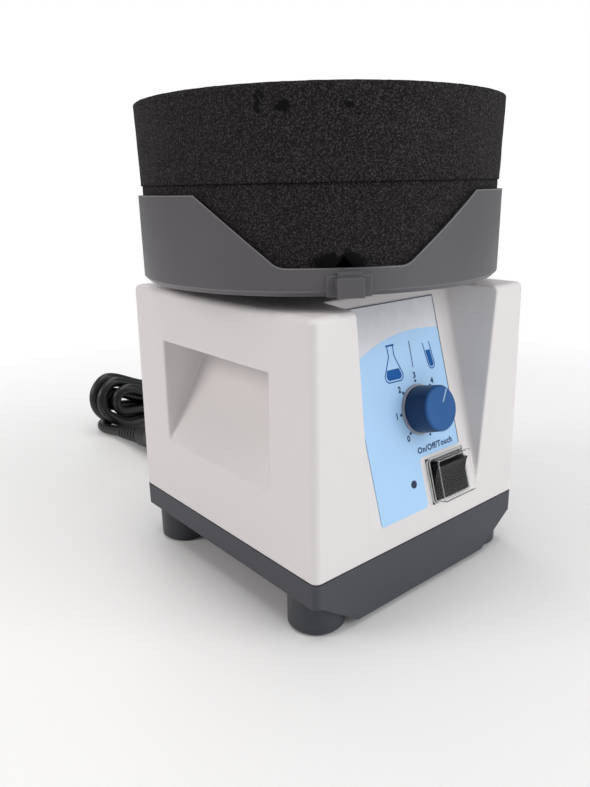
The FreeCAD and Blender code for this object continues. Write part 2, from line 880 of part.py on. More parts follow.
def platform_tray():
    foot = tray_z
    top = tray_z + tray_high_h
    inner = tray_r - tray_wall
    edge = tray_foot_edge_r
    cup = turned([(0, foot), (tray_r - edge, foot), (tray_r, foot + edge), (tray_r, top), (inner, top),
                  (inner, foam_z), (0, foam_z)])
    cup = cup.cut(tray_gap())
    near = inner + tab_sunk
    pads = [(tab_pad_w, tab_pad_out, tab_pad_h), (tab_w, tab_out, tab_h),
            (tab_step_w, tab_step_out, tab_step_h)]
    tabs = []
    for width, out, height in pads:
        tab = block(near, tray_r + out, -width / 2, width / 2, foot, foot + height)
        tab.rotate(V(0, 0, 0), V(0, 0, 1), tab_deg)
        tabs.append(tab)
    cup = tray_turn(fused([cup] + tabs))
    for x, y in tray_screw_places():
        foot_of_cone = V(x, y, foam_z - tray_screw_head_h)
        cone = Part.makeCone(tray_screw_r, tray_screw_head_r, tray_screw_head_h, foot_of_cone)
        cup = cup.cut(cylinder(tray_screw_r + hole_play, foot - 1, foam_z + 1, x, y)).cut(cone)
    return cup


def tray_screws():
    screws = []
    for x, y in tray_screw_places():
        cone = Part.makeCone(tray_screw_r - thread_play, tray_screw_head_r - hole_play,
                             tray_screw_head_h - hole_play, V(x, y, foam_z - tray_screw_head_h + thread_play))
        shank = cylinder(tray_screw_r, tray_z - head_flange_t, foam_z - tray_screw_head_h / 2, x, y)
        screws.append(fused([shank, cone]))
    return group(screws)


def tube_holes():
    """Blind holes for tubes: a ring of small ones about one large one."""
    z0 = tray_z + tube_floor_h
    z1 = tray_z + foam_top_h + 1
    holes = [cylinder(big_tube_r, z0, z1)]
    for i in range(tube_count):
        a = 2 * math.pi * (i + 0.5) / tube_count
        holes.append(cylinder(tube_hole_r, z0, z1, tube_ring_r * math.cos(a), tube_ring_r * math.sin(a)))
    return holes


def foam_lower():
    seam = tray_z + foam_seam_h
    disc = cylinder(foam_low_r, foam_z, seam)
    notch = prism([V(foam_low_r - notch_deep, -notch_half, foam_z - 0.1),
                   V(foam_low_r - notch_deep, notch_half, foam_z - 0.1),
                   V(foam_low_r - notch_deep, 0, foam_z + notch_h)], V(notch_deep + 2, 0, 0))
    for cut in [notch] + tube_holes():
        disc = disc.cut(cut)
    return tray_turn(disc)


def foam_upper():
    seam = tray_z + foam_seam_h
    top = tray_z + foam_top_h
    disc = turned([(0, seam), (foam_high_foot_r, seam), (foam_high_top_r, top), (0, top)])
    for cut in tube_holes():
        disc = disc.cut(cut)
    return tray_turn(disc)


def rubber_boot():
    """Grommet in the top opening with one deep fold down to a bead on the head's stem."""
    under_z = case_top_z - wall
    neck = top_hole_r - 0.05
    web_z = boot_trough_z + boot_t
    fold = turned([(boot_lip_r, case_top_z), (boot_lip_r - boot_lip_t, case_top_z + boot_lip_t),
                   (boot_neck_r, case_top_z + boot_lip_t), (boot_neck_r - boot_t, web_z),
                   (head_stem_r, web_z),
                   (head_stem_r, boot_trough_z), (boot_neck_r, boot_trough_z),
                   (boot_neck_r + boot_t, under_z - boot_lip_t), (boot_lip_r - 1, under_z - boot_lip_t),
                   (boot_lip_r - 1, under_z), (neck, under_z), (neck, case_top_z)])
    edge = boot_bead_edge
    bead = turned([(head_stem_r, boot_trough_z), (boot_bead_r, boot_trough_z),
                   (boot_bead_r, boot_bead_z1 - edge), (boot_bead_r - edge, boot_bead_z1),
                   (head_stem_r, boot_bead_z1)], journal.x, journal.y)
    bore = cylinder(head_stem_r + soft_gap, boot_trough_z - 1, boot_bead_z1 + 1, journal.x, journal.y)
    return fused([fold, bead]).cut(bore)


def panel_label():
    points = [(label_left, label_foot_s), (label_step_x, label_foot_s), (label_step_x, label_step_s),
              (label_right, label_step_s), (label_right, label_top_s), (label_left, label_top_s)]
    sheet = prism([V(x, s, 0) for x, s in points], V(0, 0, label_t))
    sheet = round_edges(sheet, label_corner_r, lambda b: b.ZLength > label_t * 0.9)
    sheet = sheet.cut(cylinder(ring_r + label_play, -1, 1, dial_x, dial_s))
    return on_panel(sheet.cut(cylinder(led_r + label_play, -1, 1, led_x, led_s)))


def knob_ring():
    return on_panel(ring(ring_r, ring_hole_r, 0, ring_t, dial_x, dial_s))


def speed_knob():
    body = turned([(0, knob_foot_h), (knob_foot_r, knob_foot_h), (knob_top_r, knob_h - knob_edge_r),
                   (knob_top_r - knob_edge_r, knob_h), (0, knob_h)], dial_x, dial_s)
    body = body.cut(cylinder(knob_well_r, knob_foot_h - 1, knob_well_h, dial_x, dial_s))
    body = body.cut(cylinder(pot_shaft_r + bond_play, knob_foot_h, pot_shaft_top, dial_x, dial_s))
    return on_panel(body.cut(pointer_bar(0.0)))


def pointer_bar(play):
    half = pointer_w / 2 - play
    foot = knob_h - pointer_deep
    bar = block(pointer_from, knob_top_r + 1, -half, half, foot, knob_h + 1)
    if play:
        bar = block(pointer_from + play, knob_top_r - knob_edge_r, -half, half, foot, knob_h - pointer_under)
    bar.rotate(V(0, 0, 0), V(0, 0, 1), pointer_deg)
    return move(bar, dial_x, dial_s)


def knob_pointer():
    return on_panel(pointer_bar(pointer_play))


def pot_shaft():
    body = cylinder(pot_shaft_r, board_h + board_t, pot_shaft_top, dial_x, dial_s)
    return on_panel(body)


def speed_pot():
    body = cylinder(pot_body_r, board_h, board_h + pot_body_h, dial_x, dial_s)
    bush = cylinder(pot_bush_r, board_h + pot_body_h, pot_bush_top, dial_x, dial_s)
    nut = cylinder(knob_nut_r, 0, knob_nut_h, dial_x, dial_s)
    bore = cylinder(pot_shaft_r + running_gap, board_h + board_t - 0.2, pot_bush_top + 1, dial_x, dial_s)
    return on_panel(fused([body, bush, nut]).cut(bore))


def control_board():
    board = block(board_x0, board_x1, board_s0, board_s1, board_h - board_t, board_h)
    for x, s in board_post_places():
        board = board.cut(cylinder(board_screw_r + hole_play, board_h - board_t - 1, board_h + 1, x, s))
    root_h = board_h - board_t / 2
    relay = (relay_x, relay_s, relay_w, relay_l, relay_h)
    sink = (sink_x, sink_s, sink_w, sink_l, sink_h)
    parts = [board]
    for x, s, w, l, h in (relay, sink):
        parts.append(block(x - w / 2, x + w / 2, s - l / 2, s + l / 2, root_h, board_h + h))
    parts.append(cylinder(capacitor_r, root_h, board_h + capacitor_h, capacitor_x, capacitor_s))
    return on_panel(fused(parts))


def board_screws():
    body = screw(board_screw_r, board_t + board_screw_bite, board_screw_head_r, board_screw_head_h)
    return on_panel(group([move(body, x, s, board_h - board_t) for x, s in board_post_places()]))


def switch_housing():
    half_w = bezel_w / 2
    half_l = bezel_l / 2
    plate = block(switch_x - half_w, switch_x + half_w, switch_s - half_l, switch_s + half_l, 0, bezel_t)
    body = fused([plate, switch_window(switch_body_wall, -switch_body_deep, 0.1)])
    well = switch_window(0, -switch_well_deep, 3)
    half_t = switch_tab_t / 2
    half_tab = switch_tab_w / 2
    tabs = [block(x - half_t, x + half_t, switch_s + 1 - half_tab, switch_s + 1 + half_tab,
                  -switch_body_deep - switch_tab_l, -switch_body_deep + 0.1)
            for x in (switch_x - switch_tab_pitch, switch_x, switch_x + switch_tab_pitch)]
    return on_panel(fused([body.cut(well).cut(rocker_pin(running_gap))] + tabs))


def rocker_turn(shape, angle):
    turned_shape = shape.copy()
    turned_shape.rotate(V(switch_x, switch_s, rocker_pivot_h), V(1, 0, 0), angle)
    return turned_shape


def rocker_pin(play):
    """Pivot pin across the rocker, which ends inside the side walls of the housing."""
    half = rocker_w / 2 + rocker_play + rocker_pin_reach + play
    pin = cylinder(rocker_pin_r + play, -half, half)
    pin.rotate(V(0, 0, 0), V(0, 1, 0), 90)
    return move(pin, switch_x, switch_s, rocker_pivot_h)


def switch_rocker():
    """Rocker with a hollow top face and a rounded foot, tipped to its rest position."""
    half_l = rocker_l / 2
    x0 = switch_x - rocker_w / 2
    high = V(x0, switch_s + half_l, rocker_end_h)
    low = V(x0, switch_s - half_l, rocker_end_h)
    knee_high = V(x0, switch_s + half_l - 0.8, rocker_pivot_h + 0.5)
    knee_low = V(x0, switch_s - half_l + 0.8, rocker_pivot_h + 0.5)
    top = Part.Arc(low, V(x0, switch_s, rocker_dip_h), high).toShape()
    foot = Part.Arc(knee_high, V(x0, switch_s, rocker_pivot_h - rocker_foot_r), knee_low).toShape()
    sides = [Part.LineSegment(high, knee_high).toShape(), Part.LineSegment(knee_low, low).toShape()]
    body = Part.Face(Part.Wire([top, sides[0], foot, sides[1]])).extrude(V(rocker_w, 0, 0))
    return on_panel(rocker_turn(fused([body, rocker_pin(0)]), rocker_rest_deg))


def switch_cover():
    half_w = cover_w / 2
    half_l = cover_l / 2
    dome_w = rocker_w / 2 + rocker_play + cover_t
    dome_l = switch_open_l / 2 + cover_t
    flange = rounded_block(half_w, half_l, cover_corner_r, bezel_t, bezel_t + cover_t, switch_x, switch_s)
    top_h = bezel_t + cover_h + cover_t
    dome = rounded_block(dome_w, dome_l, dome_corner_r, bezel_t, top_h, switch_x, switch_s)
    dome = round_edges(dome, dome_edge_r, lambda b: b.ZMin > bezel_t + cover_h)
    inside = rounded_block(dome_w - cover_t, dome_l - cover_t, dome_corner_r - cover_t, bezel_t - 1,
                           bezel_t + cover_h, switch_x, switch_s)
    return on_panel(fused([flange, dome]).cut(inside))


def power_led():
    lens = cylinder(led_r, -led_l, led_proud, led_x, led_s)
    rim = cylinder(led_r + led_rim, -wall - led_rim_h, -wall, led_x, led_s)
    return on_panel(fused([lens, rim]))


def touch_switch():
    half_w = touch_body_w / 2
    half_d = touch_body_d / 2
    z0 = touch_top_z - touch_body_h
    body = block(touch_x - half_w, touch_x + half_w, touch_y - half_d, touch_y + half_d, z0, touch_top_z)
    well_w = touch_button_w / 2 + touch_well_play
    well_d = touch_button_half_d + touch_well_play
    well = block(touch_x - well_w, touch_x + well_w, touch_y - well_d, touch_y + well_d,
                 touch_top_z - touch_well_deep, touch_top_z + 1)
    return body.cut(well)


def touch_button():
    half = touch_button_w / 2
    half_d = touch_button_half_d
    foot_z = touch_top_z - touch_button_in
    return block(touch_x - half, touch_x + half, touch_y - half_d, touch_y + half_d, foot_z, plate_z)


def touch_bracket():
    """Bent sheet that holds the touch switch over the ballast plate."""
    y1 = touch_y + touch_body_d / 2
    y2 = y1 + bracket_t
    half = touch_body_w / 2
    upright = block(touch_x - half, touch_x + half, y1, y2, ballast_top_z, touch_top_z - 1)
    foot = block(touch_x - half, touch_x + half, y1 - touch_arm_l, y2,
                 ballast_top_z, ballast_top_z + bracket_t)
    return fused([upright, foot])


def power_inlet():
    wall_y = back_y - (inlet_z - seam_z) * draft
    half_w = inlet_body_w / 2
    half_h = inlet_body_h / 2
    flange_y = wall_y + inlet_off
    flange = inlet_outline(inlet_flange_w / 2, inlet_flange_h / 2, flange_y, flange_y + inlet_flange_t)
    body = inlet_outline(half_w, half_h, flange_y + 0.1 - inlet_deep, flange_y + 0.1)
    well = inlet_outline(half_w - inlet_wall, half_h - inlet_wall, wall_y + inlet_flange_t - inlet_well,
                         wall_y + 2 * inlet_flange_t)
    shell = fused([flange, body]).cut(well)
    root_y = wall_y + inlet_flange_t - inlet_well - 0.1
    pins = [block(x - pin_w / 2, x + pin_w / 2, root_y, root_y + pin_l, z - pin_t / 2, z + pin_t / 2)
            for x, z in pin_places()]
    return fused([shell] + pins)


def pin_places():
    return [(inlet_x - pin_pitch, inlet_z - 2), (inlet_x, inlet_z + 2), (inlet_x + pin_pitch, inlet_z - 2)]


def relief(y0, y1, x, z, thick, thin):
    """Ribbed strain relief that tapers from y0 to y1."""
    pitch = (y1 - y0) / relief_ribs
    profile = [(0, 0)]
    for i in range(relief_ribs):
        r = thick + (thin - thick) * i / (relief_ribs - 1)
        a = i * pitch
        rib_end = a + pitch * relief_rib_share
        profile += [(r, a), (r, rib_end), (r - relief_groove, rib_end), (r - relief_groove, a + pitch)]
    profile += [(0, y1 - y0)]
    body = turned(profile)
    body.rotate(V(0, 0, 0), V(1, 0, 0), -90)
    return move(body, x, y0, z)


def mains_connector():
    wall_y = back_y - (inlet_z - seam_z) * draft
    mouth_y = wall_y + inlet_off + inlet_flange_t
    nose = inlet_outline(inlet_body_w / 2 - inlet_wall - plug_play, inlet_body_h / 2 - inlet_wall - plug_play,
                         mouth_y + connector_gap - connector_nose, mouth_y + connector_gap + 0.1)
    body = rounded_block(connector_w / 2, connector_h / 2, connector_corner_r, 0, connector_body_l)
    body.rotate(V(0, 0, 0), V(1, 0, 0), -90)
    body = move(body, inlet_x, mouth_y + connector_gap, inlet_z)
    whole = fused([nose, body])
    for x, z in pin_places():
        half_w = pin_w / 2 + plug_play
        half_t = pin_t / 2 + plug_play
        whole = whole.cut(block(x - half_w, x + half_w, mouth_y - connector_nose - 1, mouth_y - pin_hole_stop,
                                z - half_t, z + half_t))
    y0 = mouth_y + connector_gap - 0.1 + connector_body_l
    return fused([whole, relief(y0, y0 + relief_l, inlet_x, inlet_z, relief_thick_r, relief_thin_r)])


def cord_start_y():
    wall_y = back_y - (inlet_z - seam_z) * draft
    return wall_y + inlet_off + inlet_flange_t + connector_gap - 0.1 + connector_body_l + relief_l


def cord_route():
    """Hand-placed points of the free run from the connector down to the bench and into the hank."""
    y0 = cord_start_y()
    return [V(inlet_x, y0, inlet_z), V(inlet_x, y0 + 20, inlet_z), V(25.2, y0 + 40.7, 41.4),
            V(33.9, y0 + 57, 25.0), V(47.6, y0 + 71.6, 12.2), V(64.6, y0 + 82, 5.9),
            V(82.6, y0 + 90.5, 4.4), V(98.0, y0 + 97.0, 4.6)]


def plug_lead_route():
    """Hand-placed points from the hank to the plug on the bench."""
    start = V(plug_x, plug_back_y, plug_z)
    ahead = plug_turn(V(0, 11.0, 0))
    return [start, start + ahead, V(-17.9, plug_back_y + 21.8, 3.9), V(-16.0, plug_back_y + 32.0, 4.3)]


def plug_turn(vector):
    """Turns a direction from +Y to the plug's own, tipped down and turned a little to the left."""
    tip = FreeCAD.Rotation(V(1, 0, 0), -plug_tip_deg)
    yaw = FreeCAD.Rotation(V(0, 0, 1), plug_yaw_deg)
    return yaw.multVec(tip.multVec(vector))


def tube_along(points, r):
    """Tube of straight runs joined by tangent arcs, each as large as its two runs allow."""
    edges = []
    start = points[0]
    radii = []
    for a, b, c in zip(points, points[1:], points[2:]):
        u = (a - b)
        w = (c - b)
        run = min(u.Length, w.Length)
        turn = math.pi - u.getAngle(w)
        back = 0.45 * run
        radius = back / math.tan(turn / 2)
        radii.append(radius)
        p = b + u.normalize() * back
        q = b + w.normalize() * back
        middle_way = (p + q) * 0.5 - b
        reach = radius / math.cos(turn / 2) - radius
        m = b + middle_way.normalize() * reach
        edges.append(Part.LineSegment(start, p).toShape())
        edges.append(Part.Arc(p, m, q).toShape())
        start = q
    edges.append(Part.LineSegment(start, points[-1]).toShape())
    path = Part.Wire(edges)
    tangent = points[1] - points[0]
    profile = Part.Wire(Part.makeCircle(r, points[0], tangent))
    tube = path.makePipeShell([profile], True, False)
    print("cord: length %.1f mm, volume over section times length %.4f, least radius %.1f mm"
          % (path.Length, tube.Volume / (math.pi * r * r * path.Length), min(radii)))
    return tube


def mains_cord():
    return tube_along(cord_route(), cord_r)


def cord_hank():
    """Outer shape of the tied hank: tall round folds at both ends and a waist under the tie."""
    z1 = hank_h
    r = hank_top_r
    q = hank_foot_r
    turn = math.sqrt(0.5)
    y0 = hank_y0
    left_foot = [V(hank_x0, y0, hank_z0 + q), V(hank_x0 + q * (1 - turn), y0, hank_z0 + q * (1 - turn)),
                 V(hank_x0 + q, y0, hank_z0)]
    left_top = [V(hank_x0 + r, y0, z1), V(hank_x0 + r * (1 - turn), y0, z1 - r * (1 - turn)),
                V(hank_x0, y0, z1 - r)]
    right_foot = [mirror_x(v, hank_middle_x()) for v in reversed(left_foot)]
    right_top = [mirror_x(v, hank_middle_x()) for v in reversed(left_top)]
    waist_l = V(tie_x - hank_waist_half, y0, z1)
    waist_r = V(tie_x + hank_waist_half, y0, z1)
    arcs = [left_foot, right_foot, right_top, [waist_r, V(tie_x, y0, hank_waist_h), waist_l], left_top]
    edges = []
    for i, arc in enumerate(arcs):
        edges.append(Part.Arc(*arc).toShape())
        ahead = arcs[(i + 1) % len(arcs)][0]
        if ahead.distanceToPoint(arc[2]) > 0.01:
            edges.append(Part.LineSegment(arc[2], ahead).toShape())
    body = Part.Face(Part.Wire(edges)).extrude(V(0, hank_y1 - hank_y0, 0))
    body = round_edges(body, hank_edge_r, lambda b: b.YLength < 0.1)
    under_tie = block(tie_x - tie_w / 2, tie_x + tie_w / 2, hank_y0 - 1, hank_y1 + 1, -1, hank_h + 1)
    return body.cut(under_tie.cut(tie_hole(1)))


def hank_middle_x():
    return (hank_x0 + hank_x1) / 2


def mirror_x(point, middle):
    return V(2 * middle - point.x, point.y, point.z)


def cord_tie():
    """Band around the waist of the hank."""
    return tie_section(0, 0).cut(tie_hole(1))


def tie_hole(over):
    return tie_section(tie_t, over)


def tie_section(inset, over):
    """Rounded block along the hank, across its waist."""
    half_y = (hank_y1 - hank_y0) / 2
    half_z = (hank_waist_h - hank_z0) / 2
    body = rounded_block(half_y - inset, half_z - inset, hank_edge_r - inset, -over, tie_w + over)
    body.rotate(V(0, 0, 0), V(1, 1, 1), 120)
    return move(body, tie_x - tie_w / 2, hank_y0 + half_y, hank_z0 + half_z)


def mains_plug():
    """Moulded plug with flat and round pins and a ribbed relief, lying tipped on the bench."""
    face_y = -relief_l - plug_body_l
    body = turned([(0, 0), (plug_body_r - plug_edge, 0), (plug_body_r, plug_edge),
                   (plug_body_r, plug_body_l * 0.45), (plug_body_r - plug_neck_in, plug_body_l * 0.75),
                   (relief_thick_r + plug_edge, plug_body_l), (0, plug_body_l)])
    body.rotate(V(0, 0, 0), V(1, 0, 0), -90)
    parts = [move(body, 0, face_y, 0), relief(-relief_l - 0.1, 0, 0, 0, relief_thick_r, relief_thin_r)]
    for side in (-1, 1):
        x = side * plug_blade_pitch / 2
        parts.append(block(x - plug_blade_t / 2, x + plug_blade_t / 2, face_y - plug_blade_l, face_y + 1,
                           plug_blade_up - plug_blade_w / 2, plug_blade_up + plug_blade_w / 2))
    earth = cylinder(plug_earth_r, -1, plug_blade_l + plug_earth_over)
    earth.rotate(V(0, 0, 0), V(1, 0, 0), 90)
    parts.append(move(earth, 0, face_y, -plug_earth_down))
    plug = fused(parts)
    plug.rotate(V(0, 0, 0), V(1, 0, 0), -plug_tip_deg)
    plug.rotate(V(0, 0, 0), V(0, 0, 1), plug_yaw_deg)
    return move(plug, plug_x, plug_back_y, plug_z)


def plug_lead():
    return tube_along(plug_lead_route(), cord_r)


nodes = [top_shell, base_pan, rubber_feet, case_screws, ballast_plate, ballast_screws, guide_posts,
         rubber_buffers, stop_nuts, rubber_boot, panel_label, knob_ring, switch_housing, switch_cover,
         power_led, control_board, board_screws, speed_pot, power_inlet, touch_switch, touch_bracket,
         motor_plate, motor_housing, motor_screws, motor_shaft, eccentric_hub, grub_screw, journal_screw,
         bearing_inner, bearing_balls, bearing_outer, head_carrier, platform_tray, tray_screws,
         foam_lower, foam_upper, speed_knob, knob_pointer, pot_shaft, switch_rocker, touch_button,
         mains_connector, mains_cord, cord_hank, cord_tie, mains_plug, plug_lead]

os.makedirs("parts", exist_ok=True)
for node in nodes:
    shape = move(node(), -journal.x, -journal.y)
    shape.exportStep("parts/%s.step" % node.__name__)
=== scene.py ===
import bpy
import bmesh
import math
from mathutils import Matrix, Vector, noise


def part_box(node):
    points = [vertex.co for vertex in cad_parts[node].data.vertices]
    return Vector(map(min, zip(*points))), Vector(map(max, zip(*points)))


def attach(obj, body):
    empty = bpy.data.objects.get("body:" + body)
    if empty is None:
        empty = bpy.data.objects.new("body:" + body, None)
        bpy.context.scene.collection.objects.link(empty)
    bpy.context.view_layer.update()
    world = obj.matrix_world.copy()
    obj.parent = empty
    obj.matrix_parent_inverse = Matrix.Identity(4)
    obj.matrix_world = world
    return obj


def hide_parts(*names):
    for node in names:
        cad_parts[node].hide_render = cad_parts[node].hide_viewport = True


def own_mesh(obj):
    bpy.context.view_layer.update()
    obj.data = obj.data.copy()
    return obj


# Test tube shaker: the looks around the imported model, in metres and in the model's own frame.
# Parts that stay as modelled get a finish here. The lead, the prints, the buffers and the foam are made anew.
for leftover in ("Cube", "Light", "Camera"):
    if leftover in bpy.data.objects:
        bpy.data.objects.remove(bpy.data.objects[leftover])
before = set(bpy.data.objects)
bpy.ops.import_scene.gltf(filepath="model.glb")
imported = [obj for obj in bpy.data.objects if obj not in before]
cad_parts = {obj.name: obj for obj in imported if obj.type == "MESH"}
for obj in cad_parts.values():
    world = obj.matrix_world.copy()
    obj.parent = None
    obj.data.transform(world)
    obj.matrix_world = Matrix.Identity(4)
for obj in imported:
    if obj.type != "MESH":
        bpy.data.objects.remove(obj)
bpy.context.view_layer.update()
scene = bpy.context.scene
scene.view_settings.view_transform = "Standard"

# Camera. It stands in front of the left corner, a little above the case, as the photograph was taken.
# Its place, yaw, dip and roll come from matching the case's corners and the tray's circles.
camera_place = Vector((-0.20541, -0.22774, 0.1679))
yaw, dip, roll = math.radians(39.82), math.radians(17.03), math.radians(-1.15)
sensor_width, focal_length, nearest_seen = 36, 30.94, 0.02
ahead = Vector((math.sin(yaw) * math.cos(dip), math.cos(yaw) * math.cos(dip), -math.sin(dip)))
level_right = Vector((math.cos(yaw), -math.sin(yaw), 0))
level_up = level_right.cross(ahead)
right = level_right * math.cos(roll) + level_up * math.sin(roll)
up = level_up * math.cos(roll) - level_right * math.sin(roll)
camera_data = bpy.data.cameras.new("camera")
camera_data.sensor_width = sensor_width
camera_data.lens = focal_length
camera_data.clip_start = nearest_seen
camera = bpy.data.objects.new("camera", camera_data)
scene.collection.objects.link(camera)
camera_stand = Matrix((right, up, -ahead)).transposed().to_4x4()
camera_stand.translation = camera_place
camera.matrix_world = camera_stand
scene.camera = camera

# Bench: a plain pale matt floor that takes the shaker's shadow. Some way out it fades to the white
# background, for the camera alone, so that no edge of it shows.
floor_half = 3.0
floor_pale = (0.86, 0.86, 0.86, 1)
floor_rough = 0.55
fade_start, fade_end = 0.16, 0.5
plain_white = (1, 1, 1, 1)


def feed(tree, socket, value):
    """Links an output to a socket, or sets a plain value on it."""
    if isinstance(value, bpy.types.NodeSocket):
        tree.links.new(value, socket)
    else:
        socket.default_value = value


def add_node(tree, kind, settings=(), **values):
    """New node; settings are its own properties, values go to its inputs by name, with _ for a space."""
    node = tree.nodes.new(kind)
    for key, value in dict(settings).items():
        setattr(node, key, value)
    for key, value in values.items():
        feed(tree, node.inputs[key.replace("_", " ")], value)
    return node


def place_on(tree):
    """Object coordinates, which are the place on the piece."""
    return add_node(tree, "ShaderNodeTexCoord").outputs["Object"]


def maths(tree, operation, *values):
    """Result of one sum on numbers or linked outputs."""
    node = add_node(tree, "ShaderNodeMath", {"operation": operation})
    for socket, value in zip(node.inputs, values):
        feed(tree, socket, value)
    return node.outputs["Value"]


def vector_maths(tree, operation, *values, output="Vector"):
    """Result of one sum on vectors; lengths, distances and dot products come out of Value."""
    node = add_node(tree, "ShaderNodeVectorMath", {"operation": operation})
    for socket, value in zip(node.inputs, values):
        feed(tree, socket, value)
    return node.outputs[output]


def ramped(tree, value, low, high, out_low=0.0, out_high=1.0):
    """Value taken from low..high to out_low..out_high, and held outside."""
    node = add_node(tree, "ShaderNodeMapRange", {}, Value=value, From_Min=low, From_Max=high, To_Min=out_low,
                    To_Max=out_high)
    return node.outputs["Result"]


def blended(tree, share, first, second):
    """Shader that goes from first to second as share goes from 0 to 1."""
    node = add_node(tree, "ShaderNodeMixShader", {}, Fac=share)
    tree.links.new(first, node.inputs[1])
    tree.links.new(second, node.inputs[2])
    return node.outputs["Shader"]


floor_material = bpy.data.materials.new("bench_floor")
floor_material.use_nodes = True
floor_tree = floor_material.node_tree
floor_shader = floor_tree.nodes["Principled BSDF"]
floor_shader.inputs["Base Color"].default_value = floor_pale
floor_shader.inputs["Roughness"].default_value = floor_rough
floor_distance = vector_maths(floor_tree, "LENGTH", place_on(floor_tree), output="Value")
floor_seen = add_node(floor_tree, "ShaderNodeLightPath").outputs["Is Camera Ray"]
floor_far = ramped(floor_tree, floor_distance, fade_start, fade_end)
floor_fade = maths(floor_tree, "MULTIPLY", floor_far, floor_seen)
floor_white = add_node(floor_tree, "ShaderNodeEmission", {}, Color=plain_white, Strength=1.0)
floor_look = blended(floor_tree, floor_fade, floor_shader.outputs["BSDF"], floor_white.outputs["Emission"])
feed(floor_tree, floor_tree.nodes["Material Output"].inputs["Surface"], floor_look)
floor_mesh = bpy.data.meshes.new("bench_floor")
floor_corners = [(-floor_half, -floor_half, 0), (floor_half, -floor_half, 0), (floor_half, floor_half, 0),
                 (-floor_half, floor_half, 0)]
floor_mesh.from_pydata(floor_corners, [], [(0, 1, 2, 3)])
floor_mesh.materials.append(floor_material)
floor = bpy.data.objects.new("bench_floor", floor_mesh)
scene.collection.objects.link(floor)

# Light: a large soft key from the front right, one straight above, a warm fill from the left and a weak one
# from behind, in an even surround. The camera sees plain white behind the object, also through clear parts.
surround_colour = (0.96, 0.98, 1.0, 1)
surround_strength = 0.31
lamp_aim = Vector((0, 0, 0.09))
lamps = (("key", 12.6, 1.2, (1, 1, 1), (0.45, -1.25, 0.75)),
         ("overhead", 8.0, 1.0, (1, 0.99, 0.97), (0, 0, 1.4)),
         ("fill", 8.5, 0.7, (1, 0.94, 0.91), (-1.25, 0.6, 0.85)),
         ("back", 3.0, 0.8, (1, 1, 1), (0.4, 1.3, 0.9)))
world = bpy.data.worlds.new("surround")
scene.world = world
world.use_nodes = True
world_tree = world.node_tree
surround = world_tree.nodes["Background"]
surround.inputs["Color"].default_value = surround_colour
surround.inputs["Strength"].default_value = surround_strength
backdrop = add_node(world_tree, "ShaderNodeBackground", {}, Color=plain_white, Strength=1.0)
rays = add_node(world_tree, "ShaderNodeLightPath").outputs
backdrop_seen = maths(world_tree, "MAXIMUM", rays["Is Camera Ray"], rays["Is Transmission Ray"])
world_look = blended(world_tree, backdrop_seen, surround.outputs["Background"],
                     backdrop.outputs["Background"])
feed(world_tree, world_tree.nodes["World Output"].inputs["Surface"], world_look)
for lamp_name, watts, size, colour, spot in lamps:
    lamp = bpy.data.lights.new(lamp_name, "AREA")
    lamp.energy = watts
    lamp.color = colour
    lamp.size = size
    lamp_object = bpy.data.objects.new(lamp_name, lamp)
    lamp_object.location = spot
    lamp_object.rotation_mode = "QUATERNION"
    lamp_object.rotation_quaternion = (lamp_aim - Vector(spot)).to_track_quat("-Z", "Y")
    scene.collection.objects.link(lamp_object)

# Mains lead: 7 mm black flexible cable, about 1.7 m long without its connector and plug. From the connector
# it falls to the bench, is wound into a hank of tall loops tied at its waist, and ends in the plug in front.
cord_diameter = 0.007
# Places along the lead are in millimetres. At the tie its strands lie in columns along y and rows in height.
first_column, column_gap = 206.3, 6.92
first_row, row_gap = 5.1, 8.1
tie_left, tie_right, run_in = 38.5, 50.5, 17.5
fold_corner, fold_top_run = 0.295, 8.0


def strand(x, column, row):
    """Place of one strand beside the tie."""
    return (x, first_column + column * column_gap, first_row + row * row_gap)


def fold(reach, low, high, *along_y):
    """Round fold at one end of the hank, as far out as reach, from its foot to its top, drifting along y."""
    corner = fold_corner * (high - low)
    inward = math.copysign(1, (tie_left + tie_right) / 2 - reach)
    start, top_end = reach + inward * corner, reach + inward * (corner + fold_top_run)
    across = (start, reach, reach, start, top_end)
    heights = (low, low + corner, high - corner, high, high)
    return list(zip(across, along_y, heights))


# Each turn goes left through the tie, round the left fold, back lower down and up the right fold. Its row
# has the place at the tie, the slope beside it, the left fold and its foot, and the same for the way back.
turns = (
    ((0, 2), (15.5, 206.1, 25.4), (-9.0, 14.9, 31.5, 207.9, 207.4, 206.7, 206.1, 205.9),
     [], (0.5, 1), [(73.5, 210.0, 12.6)],
     (101.0, 13.0, 34.0, 210.4, 211.2, 212.3, 213.2, 213.5), (71.5, 213.3, 26.6)),
    ((1, 2), (15.5, 212.7, 27.9), (-18.5, 10.5, 36.5, 206.9, 208.4, 210.4, 211.9, 212.5),
     [(-1.5, 206.3, 4.7)], (0, 0), [(75.5, 207.3, 4.2)],
     (109.7, 4.2, 38.5, 213.1, 215.0, 217.5, 219.4, 219.9), (71.5, 220.0, 28.9)),
    ((2, 2), (15.5, 219.6, 29.0), (-20.7, 9.6, 38.7, 214.4, 215.7, 217.5, 218.9, 219.4),
     [(0.5, 213.7, 5.2)], (1, 0), [(67.5, 214.1, 4.4), (83.5, 218.7, 3.9)],
     (107.0, 4.0, 38.0, 220.1, 222.2, 224.8, 226.8, 227.3), (71.5, 227.2, 28.6)),
    ((3, 2), (15.5, 227.2, 27.5), (-17.0, 9.6, 35.8, 220.7, 222.6, 225.0, 226.8, 227.4),
     [(-0.5, 220.7, 5.0)], (2, 0), [(59.5, 220.0, 9.2), (70.5, 217.5, 12.6)],
     (96.0, 11.8, 27.8, 217.5, 217.9, 218.3, 218.6, 218.5), (71.5, 217.7, 19.5)))
